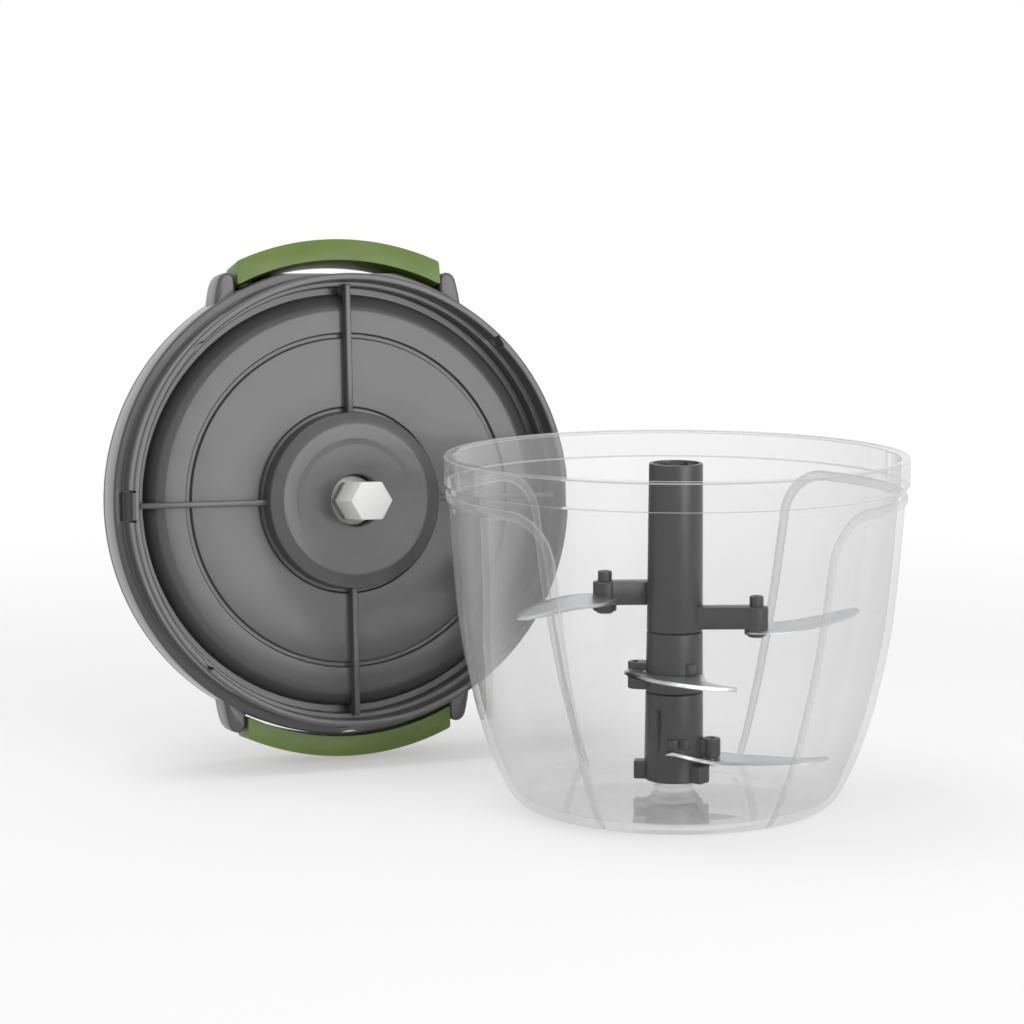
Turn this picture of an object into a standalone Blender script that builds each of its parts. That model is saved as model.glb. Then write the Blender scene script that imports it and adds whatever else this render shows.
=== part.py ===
# Manual food chopper: a clear bowl with its blade column, and the crank lid taken off beside it.
# Metres, +Z up. The origin is the middle of the bowl's base, on the floor. The lid stands on its
# lower clip behind and to the left of the bowl, with its underside facing -Y.

import math

import bmesh
import bpy
from mathutils import Matrix, Vector

# Clearances and shared sizes
GAP = 0.0003
PIN_GAP = 0.0003
CUT_OVER = 0.001
MERGE = 0.00001

# Bowl
BOWL_HEIGHT = 0.1263
RIM_RADIUS = 0.083
RIM_WALL = 0.0033
RIM_BAND = 0.0103
RIM_ROUND = 0.0009
SHOULDER_INSET = 0.0013
SHOULDER_RADIUS = RIM_RADIUS - SHOULDER_INSET
BOWL_WALL = 0.0026
FLOOR_THICK = 0.004
FLOOR_FILLET = 0.0045
BOWL_TURN = math.radians(-18.6)
# Outer wall from the shoulder down to the foot: shares of the shoulder radius and of its height
WALL_SHARES = ((1.0, 1.0), (0.987, 0.85), (0.971, 0.71), (0.953, 0.58), (0.930, 0.476), (0.904, 0.39),
               (0.876, 0.303), (0.843, 0.225), (0.808, 0.156), (0.774, 0.1), (0.742, 0.056),
               (0.714, 0.028), (0.680, 0.009), (0.642, 0.0))
# Raised arch that frames each side panel of the bowl
ARCH_HALF_ANGLE = math.radians(54.0)
ARCH_FOOT_ANGLE = math.radians(60.0)
ARCH_TOP = 0.1115
ARCH_FOOT = 0.0085
ARCH_CORNER = 0.017
ARCH_WIDTH = 0.0038
ARCH_PROUD = 0.001
ARCH_SUNK = 0.0008
# Locating lugs inside the rim and the post that the column turns on
RIM_LUG_WIDTH = 0.0022
RIM_LUG_PROUD = 0.0014
RIM_LUG_HEIGHT = 0.0095
RIM_LUG_HALF_SPAN = math.radians(9.0)
POST_BASE_RADIUS = 0.0052
POST_BASE_HEIGHT = 0.0035
POST_RADIUS = 0.0036
POST_HEIGHT = 0.028
POST_CHAMFER = 0.0008

# Blade column
COLUMN_TOP = 0.123
# The middle blade sets its lug's height, and the lug sets where the hubs meet
MIDDLE_BLADE_HEIGHT = 0.0462
MIDDLE_LUG_OVER_BLADE = 0.0042
MIDDLE_LUG_UNDER_BLADE = 0.0055
MIDDLE_LUG_TOP = MIDDLE_BLADE_HEIGHT + MIDDLE_LUG_OVER_BLADE
MIDDLE_LUG_BOTTOM = MIDDLE_BLADE_HEIGHT - MIDDLE_LUG_UNDER_BLADE
JOINT_UNDER_LUG = 0.0004
LOWER_JOINT = MIDDLE_LUG_BOTTOM - JOINT_UNDER_LUG
JOINT_OVER_LUG = 0.0119
UPPER_JOINT = MIDDLE_LUG_TOP + JOINT_OVER_LUG
COLUMN_FOOT_GAP = 0.0004
COLUMN_TOP_RADIUS = 0.00967
COLUMN_UPPER_RADIUS = 0.0101
COLUMN_LOWER_RADIUS = 0.0104
COLUMN_FOOT_RADIUS = 0.0108
COLUMN_EDGE = 0.0006
COLUMN_TURN = math.radians(-18.3)
SOCKET_ACROSS = 0.0146
SOCKET_DEPTH = 0.035
SPINE_ACROSS = 0.0122
SPINE_ROOF = 0.004
SPINE_TOP = COLUMN_TOP - SOCKET_DEPTH - SPINE_ROOF
SPINE_FLANGE_RADIUS = 0.0082
SPINE_FLANGE_THICK = 0.0016
SPINE_BORE = 0.0039
SPINE_SCREW_RADIUS = 0.0015
SPINE_SCREW_DEPTH = 0.010
SPINE_SCREW_HEAD = 0.0035
SPINE_SCREW_HEAD_THICK = 0.0022
# Arms of the upper hub: one passes in front of the axis and low, the other behind it and higher
ARM_REACH = 0.029
ARM_START = 0.003
ARM_OFFSET = 0.0038
ARM_WIDTH = 0.0066
ARM_END_RADIUS = 0.0037
ARM_HEIGHT = 0.0076
ARM_OVER_JOINT = 0.0013
ARM_STEP = 0.0002
RIGHT_ARM_BOTTOM = UPPER_JOINT + ARM_OVER_JOINT
RIGHT_ARM_TOP = RIGHT_ARM_BOTTOM + ARM_HEIGHT
LEFT_ARM_BOTTOM = RIGHT_ARM_TOP + ARM_STEP
LEFT_ARM_TOP = LEFT_ARM_BOTTOM + ARM_HEIGHT
# Lug of the middle and the lower hub, over the blade it holds
LUG_REACH = 0.0136
LUG_RADIUS = 0.0034
MIDDLE_LUG_ANGLE = math.radians(165.5)
LOWER_LUG_ANGLE = math.radians(-13.7)
LOWER_BLADE_HEIGHT = 0.0150
LOWER_LUG_OVER_BLADE = 0.0084
LOWER_LUG_TOP = LOWER_BLADE_HEIGHT + LOWER_LUG_OVER_BLADE
NUB_RADIUS = 0.0021
NUB_HEIGHT = 0.0038
MIDDLE_NUB_ANGLE = math.radians(-62.0)
LOWER_NUB_ANGLES = (math.radians(-97.0), math.radians(-74.0))
FOOT_LUG_ANGLES = (math.radians(173.0), math.radians(-44.0), math.radians(57.0))
FOOT_LUG_REACH = 0.0144
FOOT_LUG_WIDTH = 0.006
FOOT_LUG_HEIGHT = 0.0066

# Blades
BLADE_THICK = 0.0012
BLADE_BORE_GAP = 0.0002
UPPER_BLADE_CLEARANCE = 0.003687
UPPER_BLADE_RISE = 0.003
LOWER_BLADE_CLEARANCE = 0.00609
LOWER_BLADE_RISE = 0.0042
MIDDLE_BLADE_REACH = 0.038
# Upper blade's outline, along and across its arm: shares of its reach
UPPER_BLADE_SHARES = ((0.324, -0.120), (0.408, -0.134), (0.535, -0.099), (0.662, -0.014), (0.775, 0.106),
                      (0.859, 0.218), (0.908, 0.317), (0.923, 0.387), (0.873, 0.401), (0.789, 0.352),
                      (0.690, 0.275),
                      (0.577, 0.197), (0.465, 0.134), (0.366, 0.085), (0.317, 0.028))
# Edges of the blades held at the column: shares of the reach, with degrees from the blade's own line
LOWER_LEAD_SHARES = ((0.245, -104), (0.26, -88), (0.275, -68), (0.325, -48), (0.42, -32), (0.57, -20),
                     (0.76, -13),
                     (0.91, -6), (1.0, 1))
LOWER_TRAIL_SHARES = ((0.985, 2), (0.87, -1), (0.72, 0), (0.56, 4), (0.42, 12), (0.31, 28), (0.245, 44))
MIDDLE_LEAD_SHARES = ((0.36, -150), (0.46, -142), (0.48, -130), (0.45, -116), (0.42, -98), (0.43, -78),
                      (0.48, -58),
                      (0.58, -38), (0.76, -20), (0.92, -8), (1.0, 1))
MIDDLE_TRAIL_SHARES = ((0.97, 2), (0.82, -2), (0.62, -4), (0.47, 3), (0.37, 15), (0.31, 28))
LOWER_BLADE_TURN = math.radians(-5.0)
MIDDLE_BLADE_TURN = math.radians(-61.0)
BLADE_PIN_RADIUS = 0.0016
BLADE_PIN_HEAD = 0.00365
BLADE_PIN_HEAD_THICK = 0.0013
ARM_STUB_RADIUS = 0.00255
ARM_STUB_HEIGHT = 0.0034
LUG_PIN_SINK = 0.0015

# Lid: the heights below are along its own axis, from the front edge of its body, plus towards the top
# Its skirt goes over the bowl's rim, and its body stands out round the skirt
RIM_CLEARANCE = 0.0005
SKIRT_WALL = 0.0027
LID_LEDGE = 0.0038
SKIRT_INNER = RIM_RADIUS + RIM_CLEARANCE
SKIRT_OUTER = SKIRT_INNER + SKIRT_WALL
LID_RADIUS = SKIRT_OUTER + LID_LEDGE
LID_BODY_HEIGHT = 0.0165
LID_WALL = 0.0024
SKIRT_DEPTH = 0.016
EAR_FRONT = 0.0006
RIM_SEAT_DEPTH = 0.007
RIM_SEAT_WIDTH = 0.0019
RIM_SEAT_INNER = SKIRT_INNER - RIM_SEAT_WIDTH
PLATE_DEPTH = 0.0066
PLATE_STEP_WIDTH = 0.0012
PLATE_STEP_DEPTH = 0.0008
COVE_INSET = 0.0026
COVE_RADIUS = RIM_SEAT_INNER - COVE_INSET
COVE_WIDTH = 0.0163
PLATE_STEP_RADIUS = COVE_RADIUS - COVE_WIDTH
HUB_RADIUS = 0.0336
HUB_ROUND = 0.002
HUB_DISH_RADIUS = 0.022
HUB_DISH = 0.0004
HUB_HOLE = 0.0099
SLEEVE_WALL = 0.0022
SLEEVE_TOP_DEPTH = 0.0074
GUIDE_HEIGHT = 0.006
GUIDE_WALL = 0.002
RIB_WIDTH = 0.0022
RIB_DEPTH = 0.011
TAB_WIDTH = 0.011
TAB_SLOT = 0.0009
TAB_THICK = 0.0016
NICK_WIDTH = 0.0045
NICK_DEPTH = 0.0012
EAR_HEIGHT = 0.0165
# Ear's outline across and up from the lid's middle: shares of the lid radius
EAR_SHARES = ((0.443, 0.878), (0.443, 0.978), (0.455, 0.998), (0.482, 0.998), (0.500, 0.984), (0.545, 0.830),
              (0.548, 0.815), (0.500, 0.848))
PILLAR_RADIUS = 0.0034
CARRIER_PILLAR_REACH = 0.0265
COVER_PILLAR_INSET = 0.0107
COVER_PILLAR_REACH = PLATE_STEP_RADIUS - COVER_PILLAR_INSET
LID_LEAN = math.radians(6.5)
LID_ROLL = math.radians(1.0)
# The lid's middle stands this far past the rim of the bowl, to the left and to the back
LID_LEFT_PAST_RIM = 0.0066
LID_BACK_PAST_RIM = 0.0293
LID_LEFT = RIM_RADIUS + LID_LEFT_PAST_RIM
LID_BACK = RIM_RADIUS + LID_BACK_PAST_RIM

# Top cover of the lid
COVER_HEIGHT = 0.0232
COVER_THICK = 0.0022
COVER_BORE = 0.0105
COVER_LIP = 0.0016
# Cover's outside from its edge inwards: shares of the lid radius, and of its rise over the body
COVER_SHARES = ((1.0, 0.0), (1.0, 0.26), (0.984, 0.54), (0.945, 0.70), (0.67, 0.93), (0.34, 1.0))
COVER_SLEEVE_WALL = 0.0018

# Gearing: a toothed ring turned by the crank, three planets on a fixed carrier, and the pinion
GEAR_MODULE = 0.0012
PINION_TEETH = 12
PLANET_TEETH = 15
RING_TEETH = 42
PLANET_COUNT = 3
FIRST_PLANET = math.radians(90.0)
TOOTH_SHARE = 0.36
ADDENDUM_SHARE = 0.8
DEDENDUM_SHARE = 1.15
FLANK_ANGLE = math.radians(20.0)
CARRIER_BOTTOM = -0.0071
CARRIER_THICK = 0.0025
CARRIER_RADIUS = 0.0312
GEAR_WIDTH = 0.007
RING_OUTER = 0.0296
RING_WEB_BOTTOM = 0.0053
RING_WEB_THICK = 0.0025
CRANK_BOSS_RADIUS = 0.009
CRANK_HEX_ACROSS = 0.011
CRANK_HEX_HEIGHT = 0.004
PLANET_PIN_RADIUS = 0.002
PLANET_PIN_HEAD = 0.0033
PLANET_PIN_HEAD_THICK = 0.0014
SCREW_RADIUS = 0.0015
SCREW_HEAD_RADIUS = 0.0027
SCREW_HEAD_THICK = 0.0013
SCREW_DEPTH = 0.0055

# Drive shaft
HEX_ACROSS = 0.014
HEX_PROUD = 0.0197
HEX_CHAMFER = 0.0006
COLLAR_RADIUS = 0.0092
COLLAR_THICK = 0.002
JOURNAL_RADIUS = 0.005
PINION_SEAT_ACROSS = 0.007
PINION_SCREW_HEAD = 0.0038
PINION_SCREW_HEAD_THICK = 0.002

# Crank
CRANK_PAST_SCREWS = 0.006
CRANK_REACH = COVER_PILLAR_REACH + CRANK_PAST_SCREWS
CRANK_HUB_RADIUS = 0.013
CRANK_END_RADIUS = 0.0085
CRANK_THICK = 0.007
CRANK_HUB_RISE = 0.002
CRANK_LIFT = 0.001
CRANK_SCREW_RADIUS = 0.0018
CRANK_SCREW_HEAD = 0.0044
CRANK_SCREW_HEAD_THICK = 0.0017
CRANK_CAP_RADIUS = 0.0068
CRANK_CAP_THICK = 0.0016
SPINDLE_RADIUS = 0.0026
SPINDLE_HEAD = 0.0042
SPINDLE_HEAD_THICK = 0.0014
KNOB_HEIGHT = 0.027
KNOB_RADIUS = 0.0132
KNOB_GAP = 0.0005
KNOB_BORE_ROOF = 0.002
KNOB_BORE_DEPTH = KNOB_HEIGHT - KNOB_BORE_ROOF
KNOB_CAP_RADIUS = 0.0072
KNOB_CAP_THICK = 0.0016
# Knob's outside from its top down: shares of its radius and of its height
KNOB_SHARES = ((0.60, 1.0), (0.80, 0.965), (0.94, 0.88), (1.0, 0.74), (0.97, 0.56), (0.84, 0.36),
               (0.70, 0.2),
               (0.66, 0.08), (0.68, 0.0))

# Clips: they lie round the lid's edge, between its ears, and hinge on pins in the ears
CLIP_GAP = 0.0006
CLIP_DEPTH = 0.0079
CLIP_INNER = LID_RADIUS + CLIP_GAP
CLIP_OUTER = CLIP_INNER + CLIP_DEPTH
CLIP_FRONT = -0.001
CLIP_BACK = 0.0150
EAR_INSIDE = LID_RADIUS * EAR_SHARES[0][0]
CLIP_END_GAP = 0.00057
CLIP_HALF_LENGTH = EAR_INSIDE - CLIP_END_GAP
CLIP_ROUND = 0.0014
CLIP_HINGE_INSET = 0.0038
CLIP_HINGE_RISE = LID_RADIUS - CLIP_HINGE_INSET
CLIP_HINGE_BACK = 0.0125
CLIP_OPEN = math.radians(8.0)
CLIP_PIN_RADIUS = 0.0015
CLIP_PIN_INTO_CLIP = 0.0038
CLIP_PIN_INTO_EAR = 0.0067
CLIP_PIN_INSET = CLIP_HALF_LENGTH - CLIP_PIN_INTO_CLIP
CLIP_PIN_OUTSET = EAR_INSIDE + CLIP_PIN_INTO_EAR

ROUND_STEPS = 40
SMALL_STEPS = 20


def clear_scene():
    for thing in list(bpy.data.objects):
        bpy.data.objects.remove(thing, do_unlink=True)
    for group in list(bpy.data.collections):
        bpy.data.collections.remove(group)


def new_collection(name, hidden=False):
    group = bpy.data.collections.new(name)
    bpy.context.scene.collection.children.link(group)
    group.hide_render = hidden
    return group


def plastic(name, colour, roughness=0.4, metallic=0.0, alpha=1.0):
    finish = bpy.data.materials.new(name)
    finish.use_nodes = True
    shader = finish.node_tree.nodes["Principled BSDF"]
    shader.inputs["Base Color"].default_value = (*colour, 1.0)
    shader.inputs["Roughness"].default_value = roughness
    shader.inputs["Metallic"].default_value = metallic
    shader.inputs["Alpha"].default_value = alpha
    finish.diffuse_color = (*colour, alpha)
    return finish


clear_scene()
PARTS = new_collection("manual_food_chopper")
CUTTERS = new_collection("cutters", hidden=True)

LID_GREY = plastic("moulded grey plastic", (0.13, 0.13, 0.13), 0.35)
COLUMN_GREY = plastic("dark grey plastic", (0.09, 0.09, 0.09), 0.4)
CLIP_GREEN = plastic("green plastic", (0.17, 0.30, 0.08), 0.35)
WHITE = plastic("white acetal", (0.8, 0.8, 0.78), 0.4)
CLEAR = plastic("clear plastic", (0.9, 0.9, 0.93), 0.05, 0.0, 0.3)
STEEL = plastic("stainless steel", (0.6, 0.6, 0.62), 0.25, 1.0)


def empty(name, parent=None, place=(0, 0, 0), turn=(0, 0, 0)):
    frame = bpy.data.objects.new(name, None)
    PARTS.objects.link(frame)
    frame.location = place
    frame.rotation_euler = turn
    frame.parent = parent
    return frame


def mesh_object(name, mesh, parent=None, finish=None, group=None):
    piece = bpy.data.objects.new(name, mesh)
    (group or PARTS).objects.link(piece)
    piece.parent = parent
    if group is CUTTERS:
        piece.hide_render = True
        piece.display_type = "WIRE"
    if finish:
        mesh.materials.append(finish)
        mesh.shade_smooth()
        mesh.set_sharp_from_angle(angle=math.radians(32))
    return piece


def turned(name, profile, parent=None, finish=None, group=None, steps=ROUND_STEPS):
    """A profile of (radius, height) points, listed so that its outer side runs down, turned about Z."""
    mesh = bpy.data.meshes.new(name)
    points = [(radius, 0, height) for radius, height in profile]
    count = len(points)
    ends = [(i, (i + 1) % count) for i in range(count)]
    edges = [(i, j) for i, j in ends if profile[i][0] > 0 or profile[j][0] > 0]
    mesh.from_pydata(points, edges, [])
    piece = mesh_object(name, mesh, parent, None, group)
    screw = piece.modifiers.new("Turn", "SCREW")
    screw.steps = steps
    screw.render_steps = steps
    screw.use_merge_vertices = True
    screw.merge_threshold = MERGE
    screw.use_smooth_shade = True
    if finish:
        mesh.materials.append(finish)
    return piece


def plate(name, loops, bottom, top, parent=None, finish=None, group=None):
    """A flat outline with any holes, given as loops of (x, y) points, from one height to another."""
    curve = bpy.data.curves.new(name, "CURVE")
    curve.dimensions = "2D"
    curve.fill_mode = "BOTH"
    curve.extrude = (top - bottom) / 2
    for loop in loops:
        spline = curve.splines.new("POLY")
        spline.points.add(len(loop) - 1)
        for point, (x, y) in zip(spline.points, loop):
            point.co = (x, y, 0, 1)
        spline.use_cyclic_u = True
    flat = bpy.data.objects.new(name + "_outline", curve)
    PARTS.objects.link(flat)
    bpy.context.view_layer.update()
    graph = bpy.context.evaluated_depsgraph_get()
    mesh = bpy.data.meshes.new_from_object(flat.evaluated_get(graph))
    bpy.data.objects.remove(flat, do_unlink=True)
    shape = bmesh.new()
    shape.from_mesh(mesh)
    bmesh.ops.remove_doubles(shape, verts=shape.verts, dist=MERGE)
    bmesh.ops.translate(shape, verts=shape.verts, vec=(0, 0, (top + bottom) / 2))
    bmesh.ops.recalc_face_normals(shape, faces=shape.faces)
    shape.to_mesh(mesh)
    shape.free()
    mesh.name = name
    mesh.materials.clear()
    return mesh_object(name, mesh, parent, finish, group)


def circle(radius, steps=SMALL_STEPS, centre=(0, 0)):
    turn = math.tau / steps
    return [(centre[0] + radius * math.cos(i * turn), centre[1] + radius * math.sin(i * turn))
            for i in range(steps)]


def hexagon(across, turn=0.0):
    radius = across / math.sqrt(3)
    return [(radius * math.cos(turn + i * math.tau / 6), radius * math.sin(turn + i * math.tau / 6))
            for i in range(6)]


def rod(name, radius, bottom, top, parent=None, finish=None, group=None, steps=SMALL_STEPS):
    return turned(name, [(0, top), (radius, top), (radius, bottom), (0, bottom)], parent, finish, group,
                  steps)


def block(name, lowest, highest, parent=None, group=None, finish=None):
    mesh = bpy.data.meshes.new(name)
    shape = bmesh.new()
    bmesh.ops.create_cube(shape, size=1.0)
    size = Vector(highest) - Vector(lowest)
    middle = (Vector(highest) + Vector(lowest)) / 2
    bmesh.ops.transform(shape, verts=shape.verts,
                        matrix=Matrix.Translation(middle) @ Matrix.Diagonal((*size, 1)))
    shape.to_mesh(mesh)
    shape.free()
    return mesh_object(name, mesh, parent, finish, group)


def moved(piece, place=(0, 0, 0), turn=(0, 0, 0)):
    piece.location = place
    piece.rotation_euler = turn
    return piece


def baked(piece):
    """The piece's evaluated mesh, welded. The piece itself is removed."""
    bpy.context.view_layer.update()
    graph = bpy.context.evaluated_depsgraph_get()
    mesh = bpy.data.meshes.new_from_object(piece.evaluated_get(graph))
    shape = bmesh.new()
    shape.from_mesh(mesh)
    bmesh.ops.remove_doubles(shape, verts=shape.verts, dist=MERGE)
    shape.to_mesh(mesh)
    shape.free()
    bpy.data.objects.remove(piece, do_unlink=True)
    return mesh


def repeated(name, piece, places):
    """One object at each (x, y), all sharing the piece's mesh."""
    parent = piece.parent
    mesh = baked(piece)
    for i, (x, y) in enumerate(places):
        moved(mesh_object("%s_%d" % (name, i + 1), mesh, parent), (x, y, 0))


def pattern(name, piece, places):
    """A single cutter made of the piece at each (x, y)."""
    parent = piece.parent
    mesh = baked(piece)
    shape = bmesh.new()
    for x, y in places:
        single = mesh.copy()
        single.transform(Matrix.Translation((x, y, 0)))
        shape.from_mesh(single)
        bpy.data.meshes.remove(single)
    shape.to_mesh(mesh)
    shape.free()
    return mesh_object(name, mesh, parent, None, CUTTERS)


def combine(piece, others, operation):
    for other in others:
        change = piece.modifiers.new(other.name, "BOOLEAN")
        change.operation = operation
        change.solver = "EXACT"
        change.object = other
    return piece


def cut(piece, *cutters):
    return combine(piece, cutters, "DIFFERENCE")


def join(piece, *extras):
    return combine(piece, extras, "UNION")


def switch_solver(piece):
    """For a piece whose exact Booleans leave open edges."""
    for change in piece.modifiers:
        if change.type == "BOOLEAN":
            change.solver = "MANIFOLD"


def ring_places(count, reach, start=0.0):
    found = []
    for i in range(count):
        angle = start + i * math.tau / count
        found.append((reach * math.cos(angle), reach * math.sin(angle)))
    return found


def smooth_line(points, steps=3):
    """A Catmull-Rom line through (x, y) points."""
    ends = [points[0], *points, points[-1]]
    line = []
    for a, b, c, d in zip(ends, ends[1:], ends[2:], ends[3:]):
        for i in range(steps):
            t = i / steps
            line.append(tuple(0.5 * (2 * b[k] + (c[k] - a[k]) * t
                                     + (2 * a[k] - 5 * b[k] + 4 * c[k] - d[k]) * t * t
                                     + (3 * b[k] - a[k] - 3 * c[k] + d[k]) * t ** 3) for k in (0, 1)))
    line.append(points[-1])
    return line


# Bowl
def wall_points():
    shoulder = BOWL_HEIGHT - RIM_BAND
    return [(SHOULDER_RADIUS * across, shoulder * up) for across, up in WALL_SHARES]


def wall_radius(height):
    points = wall_points()
    for (upper_r, upper_z), (lower_r, lower_z) in zip(points, points[1:]):
        if height >= lower_z:
            share = (height - lower_z) / (upper_z - lower_z)
            return lower_r + (upper_r - lower_r) * min(share, 1.0)
    return points[-1][0]


def bowl_profile():
    outer = wall_points()
    inner = [(radius - BOWL_WALL, height) for radius, height in outer[::2]
             if height > FLOOR_THICK + FLOOR_FILLET]
    lowest = inner[-1][0] - FLOOR_FILLET * 0.2
    fillet = [(lowest - FLOOR_FILLET * (1 - math.cos(a)), FLOOR_THICK + FLOOR_FILLET * (1 - math.sin(a)))
              for a in (math.radians(20), math.radians(45), math.radians(70), math.radians(90))]
    post_top = FLOOR_THICK + POST_BASE_HEIGHT + POST_HEIGHT
    base_top = FLOOR_THICK + POST_BASE_HEIGHT
    post = [(0, post_top), (POST_RADIUS - POST_CHAMFER, post_top), (POST_RADIUS, post_top - POST_CHAMFER),
            (POST_RADIUS, base_top), (POST_BASE_RADIUS, base_top), (POST_BASE_RADIUS, FLOOR_THICK)]
    rim = [(RIM_RADIUS - RIM_WALL, BOWL_HEIGHT - RIM_ROUND),
           (RIM_RADIUS - RIM_WALL + RIM_ROUND, BOWL_HEIGHT),
           (RIM_RADIUS - RIM_ROUND, BOWL_HEIGHT), (RIM_RADIUS, BOWL_HEIGHT - RIM_ROUND),
           (RIM_RADIUS, BOWL_HEIGHT - RIM_BAND)]
    return post + fillet[::-1] + inner[::-1] + rim + outer + [(0, 0)]


def arch_line():
    """Angle and height along one arch: up the first leg, round the corner, across and down the other leg."""
    mean_radius = wall_radius(ARCH_TOP)
    corner_angle = ARCH_CORNER / mean_radius
    leg_top = ARCH_TOP - ARCH_CORNER
    steps = 7
    leg = []
    for i in range(steps + 1):
        share = i / steps
        height = ARCH_FOOT + (leg_top - ARCH_FOOT) * share
        leg.append((ARCH_FOOT_ANGLE + (ARCH_HALF_ANGLE - ARCH_FOOT_ANGLE) * share, height))
    corner = []
    for i in range(1, 5):
        sweep = math.radians(90) * i / 4
        corner.append((ARCH_HALF_ANGLE - corner_angle * (1 - math.cos(sweep)),
                       leg_top + ARCH_CORNER * math.sin(sweep)))
    top = [(corner[-1][0] * (1 - i / 4), ARCH_TOP) for i in range(1, 4)]
    half = leg + corner + top
    return half + [(0, ARCH_TOP)] + [(-angle, height) for angle, height in half[::-1]]


def arch_bead(name, facing, parent):
    """A flat-topped bead that follows the arch on the wall, sunk a little into it."""
    line = arch_line()
    spots = [Vector((wall_radius(height) * math.cos(facing + angle),
                     wall_radius(height) * math.sin(facing + angle), height))
             for angle, height in line]
    shape = bmesh.new()
    rings = []
    last = len(spots) - 1
    for i, spot in enumerate(spots):
        along = (spots[min(i + 1, last)] - spots[max(i - 1, 0)]).normalized()
        out = Vector((spot.x, spot.y, 0)).normalized()
        side = along.cross(out).normalized()
        half = side * ARCH_WIDTH / 2
        edge = half * 0.7
        rings.append([shape.verts.new(spot - half - out * ARCH_SUNK),
                      shape.verts.new(spot - edge + out * ARCH_PROUD),
                      shape.verts.new(spot + edge + out * ARCH_PROUD),
                      shape.verts.new(spot + half - out * ARCH_SUNK)])
    for first, second in zip(rings, rings[1:]):
        for k in range(4):
            shape.faces.new((first[k], first[(k + 1) % 4], second[(k + 1) % 4], second[k]))
    shape.faces.new(rings[0])
    shape.faces.new(rings[-1][::-1])
    bmesh.ops.recalc_face_normals(shape, faces=shape.faces)
    mesh = bpy.data.meshes.new(name)
    shape.to_mesh(mesh)
    shape.free()
    return mesh_object(name, mesh, parent, None, CUTTERS)


def make_bowl():
    frame = empty("bowl_frame", turn=(0, 0, BOWL_TURN))
    bowl = turned("bowl", bowl_profile(), frame, CLEAR)
    beads = [arch_bead("arch_right", 0.0, frame), arch_bead("arch_left", math.pi, frame)]
    lugs = []
    for i, facing in enumerate((0.0, math.pi)):
        for side in (-1, 1):
            lug = block("rim_lug_%d_%d" % (i, side),
                        (RIM_RADIUS - RIM_WALL - RIM_LUG_PROUD, -RIM_LUG_WIDTH / 2,
                                                      BOWL_HEIGHT - RIM_ROUND - RIM_LUG_HEIGHT),
                        (RIM_RADIUS - RIM_WALL / 2, RIM_LUG_WIDTH / 2, BOWL_HEIGHT - RIM_ROUND), frame,
                        CUTTERS)
            lugs.append(moved(lug, turn=(0, 0, facing + side * RIM_LUG_HALF_SPAN)))
    join(bowl, *beads, *lugs)
    switch_solver(bowl)


# Blade column
def column_radius(height):
    marks = ((0.0, COLUMN_FOOT_RADIUS), (LOWER_JOINT, COLUMN_LOWER_RADIUS),
             (UPPER_JOINT, COLUMN_UPPER_RADIUS),
             (COLUMN_TOP, COLUMN_TOP_RADIUS))
    for (low, first), (high, second) in zip(marks, marks[1:]):
        if height <= high:
            return first + (second - first) * (height - low) / (high - low)
    return COLUMN_TOP_RADIUS


def hub_body(name, bottom, top, frame):
    """One section of the column, tapered, with its two edges eased."""
    low, high = column_radius(bottom), column_radius(top)
    profile = [(0, top), (high - COLUMN_EDGE, top), (high, top - COLUMN_EDGE), (low, bottom + COLUMN_EDGE),
               (low - COLUMN_EDGE, bottom), (0, bottom)]
    return turned(name, profile, frame, COLUMN_GREY, steps=32)


def hex_hole(name, across, bottom, top, frame):
    return plate(name, [hexagon(across)], bottom, top, frame, None, CUTTERS)


def polar_outline(lead, trail, reach, turn, least=0.0):
    def spots(table):
        found = []
        for share, degrees in table:
            radius = max(reach * share, least)
            angle = turn + math.radians(degrees)
            found.append((radius * math.cos(angle), radius * math.sin(angle)))
        return smooth_line(found)
    return spots(lead), spots(trail)


def lug_spot(angle):
    return (LUG_REACH * math.cos(angle), LUG_REACH * math.sin(angle))


def column_floor():
    return FLOOR_THICK + POST_BASE_HEIGHT + COLUMN_FOOT_GAP


def arm_bar(name, side, bottom, top, frame):
    """A straight arm beside the column's axis, with a round end that the blade's pin goes through."""
    offset = -side * ARM_OFFSET
    spread = math.pi - math.asin(ARM_WIDTH / 2 / ARM_END_RADIUS)
    outline = [(side * ARM_START, offset - side * ARM_WIDTH / 2)]
    for i in range(13):
        angle = -spread + 2 * spread * i / 12
        outline.append((side * (ARM_REACH + ARM_END_RADIUS * math.cos(angle)),
                        offset + side * ARM_END_RADIUS * math.sin(angle)))
    outline.append((side * ARM_START, offset + side * ARM_WIDTH / 2))
    hole = circle(BLADE_PIN_RADIUS + PIN_GAP, 16, (side * ARM_REACH, offset))
    return plate(name, [outline, hole], bottom, top, frame, None, CUTTERS)


def make_upper_hub(frame):
    hub = hub_body("upper_hub", UPPER_JOINT + GAP / 2, COLUMN_TOP, frame)
    join(hub, arm_bar("right_arm", 1, RIGHT_ARM_BOTTOM, RIGHT_ARM_TOP, frame))
    join(hub, arm_bar("left_arm", -1, LEFT_ARM_BOTTOM, LEFT_ARM_TOP, frame))
    cut(hub, hex_hole("drive_socket", SOCKET_ACROSS, COLUMN_TOP - SOCKET_DEPTH, COLUMN_TOP + CUT_OVER,
                      frame))
    cut(hub, hex_hole("upper_spine_hole", SPINE_ACROSS + 2 * GAP, UPPER_JOINT - CUT_OVER, SPINE_TOP + GAP,
                      frame))
    cut(hub, rod("spine_screw_hole", SPINE_SCREW_RADIUS + PIN_GAP, SPINE_TOP - CUT_OVER,
                 COLUMN_TOP - SOCKET_DEPTH + CUT_OVER, frame, None, CUTTERS))


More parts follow.
